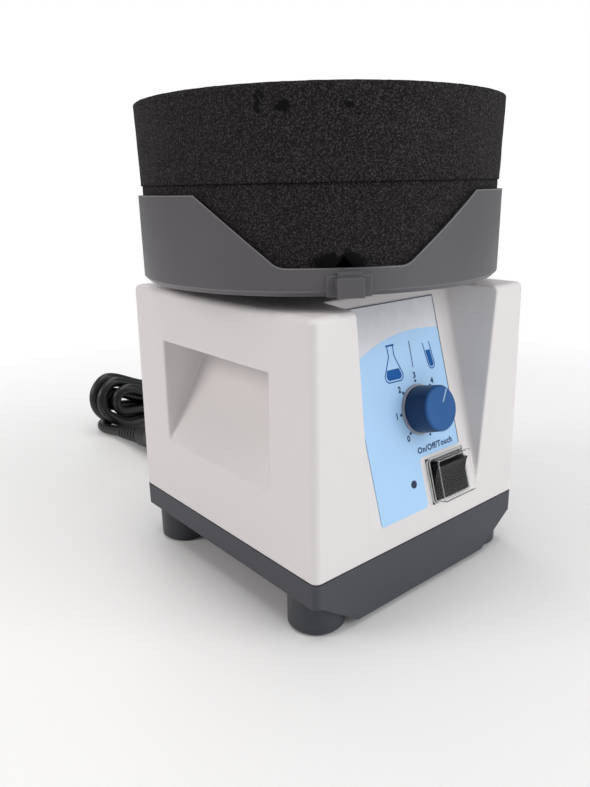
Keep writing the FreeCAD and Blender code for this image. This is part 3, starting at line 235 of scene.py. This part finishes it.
free_run = [(21.5, 108.8, 50.0), (21.5, 128.8, 50.0), (26.7, 149.5, 41.4), (35.4, 165.8, 25.0),
            (49.1, 180.4, 12.2), (66.1, 190.8, 5.9), (84.1, 199.3, 4.4)]
first_fold = (109.5, 4.4, 37.5, 206.0, 206.1, 206.2, 206.2, 206.2)
first_slope = (71.5, 206.3, 28.4)
inner_out, inner_back, last_out = (1.5, 1), (2.5, 1), (3, 0)
inner_left = [(15.5, 216.1, 18.5), (-2.5, 216.4, 27.8), (-9.8, 218.3, 27.2), (-10.7, 221.7, 18.8),
              (-5.8, 223.8, 15.6)]
inner_right = [(71.5, 224.3, 20.0), (87.5, 225.3, 28.0), (97.5, 225.7, 25.5), (100.5, 226.5, 18.0),
               (97.5, 227.3, 8.5), (87.5, 227.6, 4.2), (69.5, 227.5, 4.2)]
plug_run = [(15.5, 227.9, 4.2), (-1.5, 228.0, 4.2), (-12.0, 226.2, 4.1), (-16.9, 217.7, 3.9),
            (-15.5, 206.7, 4.1), (-13.0, 194.7, 5.6)]
route = [*free_run, *fold(*first_fold), first_slope]
for over, left_slope, left_fold, left_foot, under, right_foot, right_fold, right_slope in turns:
    route += [strand(x, *over) for x in (tie_right, tie_left)]
    route += [left_slope, *reversed(fold(*left_fold)), *left_foot]
    route += [strand(x, *under) for x in (run_in, tie_left, tie_right)]
    route += [*right_foot, *fold(*right_fold), right_slope]
route += [strand(x, *inner_out) for x in (tie_right, tie_left)] + inner_left
route += [strand(x, *inner_back) for x in (run_in, tie_left, tie_right)] + inner_right
route += [strand(x, *last_out) for x in (tie_right, tie_left)] + plug_run
lead_points = [tuple(round(v, 1) for v in place) for place in route]

clouds_from, clouds_to = 0.3, 0.7
gloss_from, gloss_to, gloss_spread = 0.35, 0.65, 0.1
grain_height = 0.0004


def srgb(red, green, blue):
    """Colour as read off a screen, 0 to 255, as the linear colour that the shader takes."""
    channels = [c / 255 for c in (red, green, blue)]
    return tuple(c / 12.92 if c <= 0.04045 else ((c + 0.055) / 1.055) ** 2.4 for c in channels) + (1.0,)


def mixed(tree, share, first, second):
    """Colour that goes from first to second as share goes from 0 to 1."""
    node = add_node(tree, "ShaderNodeMix", {"data_type": "RGBA"})
    sockets = [socket for socket in node.inputs if socket.enabled]
    for socket, value in zip(sockets, (share, first, second)):
        feed(tree, socket, value)
    return [socket for socket in node.outputs if socket.enabled][0]


def surface(name, colour, rough, metal=0.0, mottle=0.05, cloud=0.03, grain=0.0007, relief=0.04, edge=0.0004,
            **sockets):
    """Finish whose colour and gloss drift in clouds over a fine grain, with edges that look a little round.

    mottle is how far the colour drifts, cloud and grain are sizes on the object, relief is how strongly the
    grain is raised, edge is the edges' radius, and sockets are more of the shader's inputs.
    """
    material = bpy.data.materials.new(name)
    material.use_nodes = True
    tree = material.node_tree
    shader = tree.nodes["Principled BSDF"]
    where = place_on(tree)
    cloud_noise = add_node(tree, "ShaderNodeTexNoise", {}, Vector=where, Scale=1 / cloud, Detail=4.0)
    grain_noise = add_node(tree, "ShaderNodeTexNoise", {}, Vector=where, Scale=1 / grain, Detail=2.0)
    clouds = cloud_noise.outputs["Fac"]
    dark = tuple(c * (1 - mottle) for c in colour[:3]) + (1.0,)
    light = tuple(min(1.0, c * (1 + mottle)) for c in colour[:3]) + (1.0,)
    drift = ramped(tree, clouds, clouds_from, clouds_to)
    feed(tree, shader.inputs["Base Color"], mixed(tree, drift, dark, light))
    glossy, matt = rough * (1 - gloss_spread), min(1.0, rough * (1 + gloss_spread))
    feed(tree, shader.inputs["Roughness"], ramped(tree, clouds, gloss_from, gloss_to, glossy, matt))
    shader.inputs["Metallic"].default_value = metal
    rounded = add_node(tree, "ShaderNodeBevel", {"samples": 4}, Radius=edge)
    bump = add_node(tree, "ShaderNodeBump", {}, Height=grain_noise.outputs["Fac"], Strength=relief,
                    Distance=grain_height, Normal=rounded.outputs["Normal"])
    feed(tree, shader.inputs["Normal"], bump.outputs["Normal"])
    for key, value in sockets.items():
        shader.inputs[key.replace("_", " ")].default_value = value
    return material


cord_black = surface("cord_black", srgb(19, 20, 21), 0.36, mottle=0.12, cloud=0.02, grain=0.0011,
                     relief=0.05, edge=0.0002)
lead_curve = bpy.data.curves.new("mains_lead", "CURVE")
lead_curve.dimensions = "3D"
lead_curve.resolution_u = 6
lead_curve.bevel_depth = cord_diameter / 2
lead_curve.bevel_resolution = 6
lead_curve.use_fill_caps = True
lead_line = lead_curve.splines.new("NURBS")
lead_line.points.add(len(lead_points) - 1)
for point, (x, y, z) in zip(lead_line.points, lead_points):
    point.co = (x / 1000, y / 1000, z / 1000, 1)
lead_line.order_u = 3
lead_line.use_endpoint_u = True
lead_curve.materials.append(cord_black)
lead = bpy.data.objects.new("mains_lead", lead_curve)
scene.collection.objects.link(lead)
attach(lead, "base")
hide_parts("mains_cord", "cord_hank", "plug_lead")

# Mains connector, plug and inlet: hard black plastic, moulded onto the lead's ends with ribbed reliefs.
# The inlet is the same plastic, set into the back of the case.


def dress(material, *nodes):
    """Gives parts that stay as modelled their finish."""
    for node in nodes:
        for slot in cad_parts[node].material_slots:
            slot.material = material


moulded_black = surface("moulded_black", srgb(19, 20, 21), 0.42, mottle=0.1, relief=0.06)
dress(moulded_black, "mains_connector", "mains_plug", "power_inlet")

# Tie: a band of dark grey rubber, pulled tight round the waist of the hank.
# It has the dull, slightly uneven skin of cast rubber.
tie_rubber = surface("tie_rubber", srgb(38, 40, 41), 0.6, mottle=0.1, relief=0.05)
dress(tie_rubber, "cord_tie")

# Base pan: the grey moulded lower half of the case, with a fine grain and softly rounded edges.
# The cover stands on it, and four long screws from below hold the two together.
base_grey = surface("base_grey", srgb(66, 68, 76), 0.5, mottle=0.06, cloud=0.05, relief=0.08, edge=0.0005,
                    Specular_IOR_Level=0.35)
dress(base_grey, "base_pan")

# Feet: four moulded rubber feet of nearly the same grey, a little smoother than the pan.
# The long case screws pass through them.
foot_grey = surface("foot_grey", srgb(56, 58, 64), 0.42, mottle=0.06, cloud=0.02, relief=0.05,
                    Specular_IOR_Level=0.35)
dress(foot_grey, "rubber_feet")

# Ballast plate and eccentric hub: grey iron as cast, dark and rough, with the drift of a cast skin.
# The plate is screwed into the base pan, and the hub is held on the motor shaft by its grub screw.
cast_grey = surface("cast_grey", srgb(96, 97, 100), 0.62, metal=0.6, mottle=0.16, cloud=0.008, relief=0.3)
dress(cast_grey, "ballast_plate", "eccentric_hub")

# Screws, guide posts, nuts, shafts and the ball bearing: bright steel, turned or rolled.
# They share one finish, because all are bought parts of the same polished steel.
bright_steel = surface("bright_steel", srgb(176, 178, 180), 0.28, metal=1.0, mottle=0.06, cloud=0.01,
                       relief=0.05)
dress(bright_steel, "case_screws", "ballast_screws", "guide_posts", "stop_nuts", "motor_screws",
      "motor_shaft", "grub_screw", "journal_screw", "bearing_inner", "bearing_balls", "bearing_outer",
      "tray_screws", "board_screws", "pot_shaft")

# Rubber boot: soft dark rubber between the case and the head, which keeps the head from turning.
# It is moulded in one piece and hides the eccentric under the tray.
soft_rubber = surface("soft_rubber", srgb(33, 33, 34), 0.7, mottle=0.12, cloud=0.01, relief=0.08)
dress(soft_rubber, "rubber_boot")

# Rubber buffers under the motor plate: moulded sleeves of the same soft rubber, slipped over the posts.
# The plate presses them 1.5 mm shorter when the tray is pushed down.
buffers = bpy.data.objects.new("buffer_sleeves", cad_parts["rubber_buffers"].data.copy())
scene.collection.objects.link(buffers)
buffers.data.materials.clear()
buffers.data.materials.append(soft_rubber)
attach(buffers, "base")
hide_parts("rubber_buffers")
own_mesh(buffers)

# Motor plate and touch switch bracket: steel sheet, zinc plated, with the mild cloudiness of the plating.
# The plate slides on the guide posts, and the bracket is fixed in the base.
zinc_plate = surface("zinc_plate", srgb(168, 170, 166), 0.4, metal=1.0, mottle=0.1, cloud=0.02, relief=0.06)
dress(zinc_plate, "motor_plate", "touch_bracket")

# Motor: a round can with a thin dark enamel, screwed under the motor plate.
# A little of the metal's sheen comes through.
motor_enamel = surface("motor_enamel", srgb(58, 62, 70), 0.45, metal=0.3, mottle=0.1, relief=0.12)
dress(motor_enamel, "motor_housing")

# Head carrier and the body of the speed potentiometer: light alloy, machined and left bare.
# The carrier holds the bearing and takes the tray's four screws.
milled_alloy = surface("milled_alloy", srgb(186, 188, 190), 0.34, metal=1.0, mottle=0.05, cloud=0.015,
                       relief=0.08)
dress(milled_alloy, "head_carrier", "speed_pot")

# Control board: green glass fibre board with solder resist, held by four screws.
# Small clouds stand for the tracks under the resist.
board_green = surface("board_green", srgb(34, 92, 62), 0.4, mottle=0.15, cloud=0.006, relief=0.1)
dress(board_green, "control_board")

# Touch switch: a small black moulded switch on its bracket, with a plunger under the motor plate.
# Body and plunger are the same plain plastic.
inner_black = surface("inner_black", srgb(36, 36, 38), 0.45, mottle=0.1, relief=0.05)
dress(inner_black, "touch_switch", "touch_button")

# Case cover: the off-white moulded upper half of the case, satin, with softly rounded edges.
# It sits on the base pan, and its posts inside take the long screws.
shell_white = surface("shell_white", srgb(224, 220, 220), 0.46, mottle=0.012, cloud=0.08, grain=0.0006,
                      relief=0.05, edge=0.0006)
dress(shell_white, "top_shell")

# Panel film: a light blue polyester film, cut out round the switch, the light and the ring, and glued to the
# sloped panel. Places on it are millimetres across, up the slope and out of it, from the panel's foot.
panel_tilt = math.radians(16)
panel_foot_height = 0.0374
case_low, case_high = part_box("base_pan")
case_middle = Vector(((case_low[0] + case_high[0]) / 2, (case_low[1] + case_high[1]) / 2, 0))
panel_across = Vector((1, 0, 0))
panel_up = Vector((0, math.sin(panel_tilt), math.cos(panel_tilt)))
panel_out = Vector((0, -math.cos(panel_tilt), math.sin(panel_tilt)))
panel_foot = Vector((case_middle.x, case_low[1], panel_foot_height))
film_blue = surface("film_blue", srgb(172, 211, 248), 0.34, mottle=0.015, cloud=0.03, relief=0.02,
                    edge=0.0001)
dress(film_blue, "panel_label")

# Printed band and painted edge shadow: the band is pale ink above a long flat arc, at the top of the film.
# A thin dark line along the right and top edges is painted shadow of the film's edge. Each layer lies a
# little over the one before.
band_height, edge_height, ink_height = 0.42, 0.43, 0.45
band_left, band_right, band_top = -27.9, 26.2, 87.5
arc_middle, arc_top, arc_steps = 9.0, 74.95, 12
arc_fall_left, arc_fall_right = 0.00687, 0.0039
edge_right, edge_foot, edge_top, edge_width = 26.5, 22.2, 87.7, 0.45
stroke_overlap = 0.3


def panel_point(x, s, h):
    """Place on the sloped panel: x across, s up the slope, h out of it, in millimetres."""
    return panel_foot + (panel_across * x + panel_up * s + panel_out * h) / 1000


def screen_ink(name, colour):
    """Finish of thin ink on the film, with the faint drift of screen printing; also of the painted edge
    shadow.
    """
    return surface(name, colour, 0.5, mottle=0.04, cloud=0.004, relief=0.01, edge=0.0001,
                   Specular_IOR_Level=0.2)


def printed(name, points, faces, ink):
    """Piece of flat shapes on the film: prints, and the painted shadow along its edges."""
    mesh = bpy.data.meshes.new(name)
    mesh.from_pydata(points, [], faces)
    mesh.validate()
    mesh.materials.append(ink)
    piece = bpy.data.objects.new(name, mesh)
    scene.collection.objects.link(piece)
    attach(piece, "base")


def filled(outlines, height, points=(), faces=()):
    """Points and faces of flat shapes on the panel from their outlines, after any that are there already."""
    points, faces = list(points), list(faces)
    for outline in outlines:
        faces.append(tuple(range(len(points), len(points) + len(outline))))
        points += [panel_point(x, s, height) for x, s in outline]
    return points, faces


def strokes(line, width):
    """Outlines of short straight strokes of one width along a line; they overlap a little at its corners."""
    shapes = []
    for (x0, s0), (x1, s1) in zip(line, line[1:]):
        length = math.hypot(x1 - x0, s1 - s0)
        along_x, along_s = (x1 - x0) / length * width, (s1 - s0) / length * width
        side_x, side_s = -along_s / 2, along_x / 2
        end_x, end_s = along_x * stroke_overlap, along_s * stroke_overlap
        shapes.append([(x0 + side_x - end_x, s0 + side_s - end_s),
                       (x0 - side_x - end_x, s0 - side_s - end_s),
                       (x1 - side_x + end_x, s1 - side_s + end_s),
                       (x1 + side_x + end_x, s1 + side_s + end_s)])
    return shapes


band_outline = [(band_right, band_top), (band_left, band_top)]
for step in range(arc_steps + 1):
    x = band_left + (band_right - band_left) * step / arc_steps
    arc_fall = arc_fall_left if x < arc_middle else arc_fall_right
    band_outline.append((x, arc_top - arc_fall * (x - arc_middle) ** 2))
band_ink = screen_ink("band_print", srgb(216, 218, 224))
printed("band_print", *filled([band_outline], band_height), band_ink)
# The dark line along the right and top edges is painted shadow of the film's edge, not print.
edge_shadow_line = [(edge_right, edge_foot), (edge_right, edge_top), (band_left, edge_top)]
edge_shadow_paint = screen_ink("edge_print", srgb(84, 88, 100))
printed("edge_print", *filled(strokes(edge_shadow_line, edge_width), edge_height), edge_shadow_paint)

# Flask and tube: line drawings in blue ink under the band, each with its liquid as a solid shape.
# They are printed as thin even strokes, and the flask has a thicker rim.
line_width, rim_width = 0.5, 0.7
flask = [(-6.9, 70.2), (-6.9, 66.0), (-11.0, 58.4), (-10.7, 56.7), (-9.3, 55.6), (-2.1, 55.4), (-0.7, 56.4),
         (-0.3, 58.0), (-3.7, 66.0), (-3.4, 70.2)]
flask_rim = [(-7.4, 70.4), (-2.9, 70.4)]
tube = [(14.7, 68.3), (16.2, 59.0), (16.9, 57.4), (18.2, 56.8), (19.6, 57.3), (20.2, 58.8), (18.9, 68.4)]
flask_liquid = [(-9.3, 60.7), (-10.1, 58.4), (-9.8, 57.2), (-8.9, 56.4), (-2.4, 56.2), (-1.4, 56.9),
                (-1.2, 58.0), (-2.2, 60.6)]
tube_liquid = [(15.8, 65.0), (16.8, 59.1), (17.3, 58.0), (18.2, 57.6), (19.2, 58.0), (19.6, 58.9),
               (18.7, 65.0)]
drawings = strokes(flask, line_width) + strokes(flask_rim, rim_width) + strokes(tube, line_width)
symbol_ink = screen_ink("symbol_print", srgb(6, 86, 160))
printed("symbol_print", *filled(drawings + [flask_liquid, tube_liquid], ink_height), symbol_ink)

# Dial marks: eight round dots in dark blue ink on a ring about the knob, and a line between flask and tube.
# The dots are one disc repeated by a node tree on the points of the ring.
dial_middle = (6.2, 41.5)
dot_ring, dot_radius, dot_sides = 12.1, 0.62, 20
mark_angles = (225, 180, 135, 90, 45, 5, -35, -75)
divider = [(6.6, 70.4), (6.4, 59.5)]
dark_blue = srgb(28, 56, 104)
mark_ink = screen_ink("mark_print", dark_blue)


def on_dial(ring, degrees):
    """Place on a ring about the knob, across and up the panel."""
    turned = math.radians(degrees)
    return dial_middle[0] + ring * math.cos(turned), dial_middle[1] + ring * math.sin(turned)


dot_tree = bpy.data.node_groups.new("dial_dots", "GeometryNodeTree")
dot_tree.is_modifier = True
dot_tree.interface.new_socket("Places", in_out="INPUT", socket_type="NodeSocketGeometry")
radius_input = dot_tree.interface.new_socket("Dot Radius", in_out="INPUT", socket_type="NodeSocketFloat")
lean_input = dot_tree.interface.new_socket("Lean", in_out="INPUT", socket_type="NodeSocketFloat")
ink_input = dot_tree.interface.new_socket("Ink", in_out="INPUT", socket_type="NodeSocketMaterial")
dot_tree.interface.new_socket("Dots", in_out="OUTPUT", socket_type="NodeSocketGeometry")
given = add_node(dot_tree, "NodeGroupInput").outputs
dot_places = add_node(dot_tree, "GeometryNodeMeshToPoints", {}, Mesh=given["Places"])
one_dot = add_node(dot_tree, "GeometryNodeMeshCircle", {"fill_type": "NGON"}, Vertices=dot_sides,
                   Radius=given["Dot Radius"])
dot_lean = add_node(dot_tree, "ShaderNodeCombineXYZ", {}, X=given["Lean"])
dot_turn = add_node(dot_tree, "FunctionNodeEulerToRotation", {}, Euler=dot_lean.outputs["Vector"])
set_dots = add_node(dot_tree, "GeometryNodeInstanceOnPoints", {}, Points=dot_places.outputs["Points"],
                    Instance=one_dot.outputs["Mesh"], Rotation=dot_turn.outputs["Rotation"])
real_dots = add_node(dot_tree, "GeometryNodeRealizeInstances", {}, Geometry=set_dots.outputs["Instances"])
inked_dots = add_node(dot_tree, "GeometryNodeSetMaterial", {}, Geometry=real_dots.outputs["Geometry"],
                      Material=given["Ink"])
add_node(dot_tree, "NodeGroupOutput", {}, Dots=inked_dots.outputs["Geometry"])
ring_mesh = bpy.data.meshes.new("dial_ring")
ring_mesh.from_pydata([panel_point(*on_dial(dot_ring, angle), ink_height) for angle in mark_angles], [], [])
ring = bpy.data.objects.new("dial_ring", ring_mesh)
scene.collection.objects.link(ring)
dot_maker = ring.modifiers.new("dial_dots", "NODES")
dot_maker.node_group = dot_tree
dot_maker[radius_input.identifier] = dot_radius / 1000
dot_maker[lean_input.identifier] = math.radians(90) - panel_tilt
dot_maker[ink_input.identifier] = mark_ink
dot_mesh = bpy.data.meshes.new_from_object(ring.evaluated_get(bpy.context.evaluated_depsgraph_get()))
dot_points = [vertex.co.copy() for vertex in dot_mesh.vertices]
dot_faces = [tuple(face.vertices) for face in dot_mesh.polygons]
bpy.data.objects.remove(ring)
mark_points, mark_faces = filled(strokes(divider, edge_width), ink_height, dot_points, dot_faces)
printed("mark_print", mark_points, mark_faces, mark_ink)

# Figures and words: figures stand at the dial's marks, and the switch's three settings are named above it.
# They are plain block letters, made a mesh and laid on the slope, in the same blue as the marks.
digit_ring, digit_drop = 14.6, 1.2
letter_height, capital_share, letter_weight, word_spacing = 2.5, 0.7, 0.05, 1.1
settings_place = (11.1, 23.6)
words = []
for value, angle in enumerate(mark_angles[:-1]):
    x, s = on_dial(digit_ring, angle)
    words.append((str(value), x, s - digit_drop, 1.0))
words.append(("On/Off/Touch", *settings_place, word_spacing))
letter_points = []
letter_faces = []
for text, x, s, spacing in words:
    curve = bpy.data.curves.new("words", "FONT")
    curve.body = text
    curve.align_x = "CENTER"
    curve.size = letter_height / capital_share
    curve.offset = letter_weight * letter_height
    curve.resolution_u = 3
    curve.space_character = spacing
    letters = bpy.data.objects.new("words", curve)
    letter_mesh = bpy.data.meshes.new_from_object(letters)
    start = len(letter_points)
    for vertex in letter_mesh.vertices:
        letter_points.append(panel_point(x + vertex.co.x, s + vertex.co.y, ink_height))
    letter_faces += [tuple(corner + start for corner in face.vertices) for face in letter_mesh.polygons]
    bpy.data.objects.remove(letters)
printed("word_print", letter_points, letter_faces, screen_ink("word_print", dark_blue))

# Ring under the knob: a flat ring of pale bluish plastic, seated on the panel round the shaft.
# It is a little matt, and only its outer part shows.
ring_pale = surface("ring_pale", srgb(166, 174, 190), 0.4, mottle=0.03, relief=0.03)
dress(ring_pale, "knob_ring")

# Speed knob: a moulded knob with a mid-blue cap and a darker blue side, pushed onto the shaft.
# The cap's colour ends about a millimetre below the face.
knob_side = srgb(4, 46, 88)
cap_depth, cap_blend = 0.0011, 0.0003


def height_over_panel(tree):
    """How far a place stands out of the panel, in metres, for finishes that change with it."""
    above = vector_maths(tree, "SUBTRACT", place_on(tree), panel_foot)
    return vector_maths(tree, "DOT_PRODUCT", above, panel_out, output="Value")


def colour_so_far(material):
    """The shader's colour input, and what feeds it now."""
    socket = material.node_tree.nodes["Principled BSDF"].inputs["Base Color"]
    return socket, socket.links[0].from_socket


knob_blue = surface("knob_blue", srgb(24, 86, 148), 0.42, mottle=0.03, cloud=0.01, relief=0.05, edge=0.0005,
                    Specular_IOR_Level=0.35)
knob_tree = knob_blue.node_tree
knob_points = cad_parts["speed_knob"].data.vertices
knob_face = max((point.co - panel_foot).dot(panel_out) for point in knob_points)
on_cap = ramped(knob_tree, height_over_panel(knob_tree), knob_face - cap_depth, knob_face - cap_blend)
knob_input, cap_colour = colour_so_far(knob_blue)
feed(knob_tree, knob_input, mixed(knob_tree, on_cap, knob_side, cap_colour))
dress(knob_blue, "speed_knob")

# Pointer: a short bar of white plastic with a faint blue cast, let into the knob's face.
# It turns with the knob.
pointer_white = surface("pointer_white", srgb(150, 184, 216), 0.4, mottle=0.02, relief=0.02)
dress(pointer_white, "knob_pointer")

# Switch: a snap-in rocker switch of deep black plastic, its frame and its rocker alike.
# It has softly rounded edges and little gloss.
rocker_black = surface("rocker_black", srgb(6, 6, 6), 0.35, mottle=0.15, cloud=0.006, relief=0.03,
                       edge=0.0007, Specular_IOR_Level=0.2)
dress(rocker_black, "switch_housing", "switch_rocker")

# Splash cover: a thin clear soft moulding over the switch, through which the rocker is pressed.
# Its edges carry a painted highlight: they turn from clear to white, most at the rim on the panel, less
# higher up.
cover_tint, cover_ior = (0.98, 0.98, 0.98, 1), 1.13
cover_cloud_scale = 180.0
cover_smooth, cover_rough = 0.04, 0.12
highlight_at_rim, highlight_at_top, highlight_width = 0.75, 0.3, 0.0009
rim_height, top_height = 0.0022, 0.0045
edge_on, edge_full = 0.995, 0.9


def outer_edges(tree, width):
    """Goes from 0 on faces to 1 on the edges of a moulding, where a highlight is painted."""
    plain = add_node(tree, "ShaderNodeNewGeometry").outputs["Normal"]
    rounded = add_node(tree, "ShaderNodeBevel", {"samples": 8}, Radius=width).outputs["Normal"]
    likeness = vector_maths(tree, "DOT_PRODUCT", plain, rounded, output="Value")
    return ramped(tree, likeness, edge_on, edge_full)


cover_clear = bpy.data.materials.new("cover_clear")
cover_clear.use_nodes = True
cover_tree = cover_clear.node_tree
cover_shader = cover_tree.nodes["Principled BSDF"]
cover_shader.inputs["Base Color"].default_value = cover_tint
cover_shader.inputs["IOR"].default_value = cover_ior
cover_noise = add_node(cover_tree, "ShaderNodeTexNoise", {}, Vector=place_on(cover_tree),
                       Scale=cover_cloud_scale)
cover_gloss = ramped(cover_tree, cover_noise.outputs["Fac"], clouds_from, clouds_to, cover_smooth,
                     cover_rough)
feed(cover_tree, cover_shader.inputs["Roughness"], cover_gloss)
# Painted highlight: at the edges the clear plastic turns white, strongest near the panel.
highlight_share = ramped(cover_tree, height_over_panel(cover_tree), rim_height, top_height, highlight_at_rim, highlight_at_top)
painted_edge_highlight = maths(cover_tree, "MULTIPLY", outer_edges(cover_tree, highlight_width), highlight_share)
clearness = ramped(cover_tree, painted_edge_highlight, 0.0, 1.0, 1.0, 0.0)
feed(cover_tree, cover_shader.inputs["Transmission Weight"], clearness)
dress(cover_clear, "switch_cover")

# Small light: a dark blue lens beside the switch, smooth and unlit.
# It is seated in a round hole of the film and the panel.
led_blue = surface("led_blue", srgb(22, 44, 76), 0.25, mottle=0.05, relief=0.01)
dress(led_blue, "power_led")

# Tray: a round dark grey moulding with a low front side and a lug, screwed onto the head carrier.
# Its edges look rounded and carry a painted highlight in a lighter grey, which is faint on the lug's edges.
tray_highlight_grey = srgb(140, 139, 144)
tray_highlight_width = 0.0008
lug_middle = (-0.0432, -0.0652, 0.134)
lug_inner, lug_outer, lug_highlight_share = 0.009, 0.016, 0.25
tray_grey = surface("tray_grey", srgb(86, 84, 88), 0.36, mottle=0.05, cloud=0.04, relief=0.06, edge=0.0006,
                    Specular_IOR_Level=0.45)
tray_tree = tray_grey.node_tree
from_lug = vector_maths(tray_tree, "DISTANCE", place_on(tray_tree), lug_middle, output="Value")
highlight_off_lug = ramped(tray_tree, from_lug, lug_inner, lug_outer, lug_highlight_share, 1.0)
# A lighter grey painted along the edges as a highlight.
painted_rim_highlight = maths(tray_tree, "MULTIPLY", outer_edges(tray_tree, tray_highlight_width), highlight_off_lug)
tray_input, tray_face = colour_so_far(tray_grey)
feed(tray_tree, tray_input, mixed(tray_tree, painted_rim_highlight, tray_face, tray_highlight_grey))
dress(tray_grey, "platform_tray")

# Foam: two layers of black open-cell foam, cut on a saw and laid on each other in the tray. Their skins are
# split into small faces and roughened, speckled with light cells and dark pores, with near-black painted
# shade for tears at the front.
cell_light, cell_dark = srgb(84, 80, 81), srgb(32, 29, 30)
cell_from, cell_to = 0.15, 0.6
# Near-black painted shade for the hollows of tears, beside the dark of the pores.
pore_dark, tear_shade_black = srgb(15, 13, 13), srgb(5, 4, 4)
pore_from, pore_to = 0.4, 0.6
cell_scale, pore_scale, speckle_share = 2100.0, 1500.0, 0.85
rip_scale, rip_reach = 330.0, 0.009
rip_inner, rip_outer = 0.85, 1.15
face_sizes = (0.02, 0.01, 0.006, 0.004, 0.0028, 0.0028)
dent_scale, lump_scale, lump_share, dent_height = 700, 260, 0.6, 0.00012
sharp_angle = math.radians(45)
# Each patch of painted tear shade has its place from the case's middle and its reach in millimetres, and how
# it is squeezed. The last one is painted shade at the ragged edge of the notch.
tear_shade_spots = ((-64.6, -40.0, 194.4, 1.5, (1, 1, 0.45)), (-59.9, -46.8, 191.8, 1.8, (1, 1, 0.9)),
         (-43.9, -62.1, 192.0, 1.9, (1, 1, 0.9)), (-46.4, -58.5, 142.4, 9.6, (1, 1, 2.4)))
foam_black = surface("foam_black", srgb(42, 39, 39), 0.95, mottle=0.2, cloud=0.02, grain=0.0006, relief=1.0,
                     edge=0.0001, Specular_IOR_Level=0.2)
foam_tree = foam_black.node_tree
foam_where = place_on(foam_tree)
cells = add_node(foam_tree, "ShaderNodeTexVoronoi", {}, Vector=foam_where, Scale=cell_scale, Randomness=1.0)
pores = add_node(foam_tree, "ShaderNodeTexNoise", {}, Vector=foam_where, Scale=pore_scale, Detail=1.0)
cell_fade = ramped(foam_tree, cells.outputs["Distance"], cell_from, cell_to)
pore_share = ramped(foam_tree, pores.outputs["Fac"], pore_from, pore_to)
speckle = mixed(foam_tree, pore_share, pore_dark, mixed(foam_tree, cell_fade, cell_light, cell_dark))
foam_input, cloudy_black = colour_so_far(foam_black)
foam_face = mixed(foam_tree, speckle_share, cloudy_black, speckle)
rips = add_node(foam_tree, "ShaderNodeTexNoise", {}, Vector=foam_where, Scale=rip_scale, Detail=4.0)
ragged = vector_maths(foam_tree, "MULTIPLY_ADD", rips.outputs["Color"], (rip_reach,) * 3, foam_where)
off_tear_shade = None
for x, y, z, reach, squeeze in tear_shade_spots:
    tear_middle = case_middle + Vector((x, y, z)) / 1000 + Vector((rip_reach / 2,) * 3)
    from_tear = vector_maths(foam_tree, "SUBTRACT", ragged, tear_middle)
    squeezed = vector_maths(foam_tree, "MULTIPLY", from_tear, squeeze)
    distance = vector_maths(foam_tree, "LENGTH", squeezed, output="Value")
    outside = ramped(foam_tree, distance, rip_inner * reach / 1000, rip_outer * reach / 1000)
    off_tear_shade = outside if off_tear_shade is None else maths(foam_tree, "MINIMUM", off_tear_shade, outside)
# Tears: near-black painted shade mixed in where they lie.
feed(foam_tree, foam_input, mixed(foam_tree, off_tear_shade, tear_shade_black, foam_face))
for layer in ("foam_lower", "foam_upper"):
    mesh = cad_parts[layer].data.copy()
    skin = bmesh.new()
    skin.from_mesh(mesh)
    bmesh.ops.remove_doubles(skin, verts=skin.verts, dist=1e-6)
    for face_size in face_sizes:
        long_edges = [edge for edge in skin.edges if edge.calc_length() > face_size]
        bmesh.ops.subdivide_edges(skin, edges=long_edges, cuts=1, use_grid_fill=False)
        bmesh.ops.triangulate(skin, faces=[face for face in skin.faces if len(face.verts) > 3])
    skin.normal_update()
    moves = []
    for vertex in skin.verts:
        rough = noise.noise(vertex.co * dent_scale) + lump_share * noise.noise(vertex.co * lump_scale)
        moves.append(vertex.normal * dent_height * rough)
    for vertex, move in zip(skin.verts, moves):
        vertex.co += move
    skin.to_mesh(mesh)
    skin.free()
    mesh.materials.clear()
    mesh.materials.append(foam_black)
    mesh.shade_smooth()
    mesh.set_sharp_from_angle(angle=sharp_angle)
    piece = bpy.data.objects.new(layer + "_skin", mesh)
    scene.collection.objects.link(piece)
    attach(piece, "head")
    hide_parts(layer)
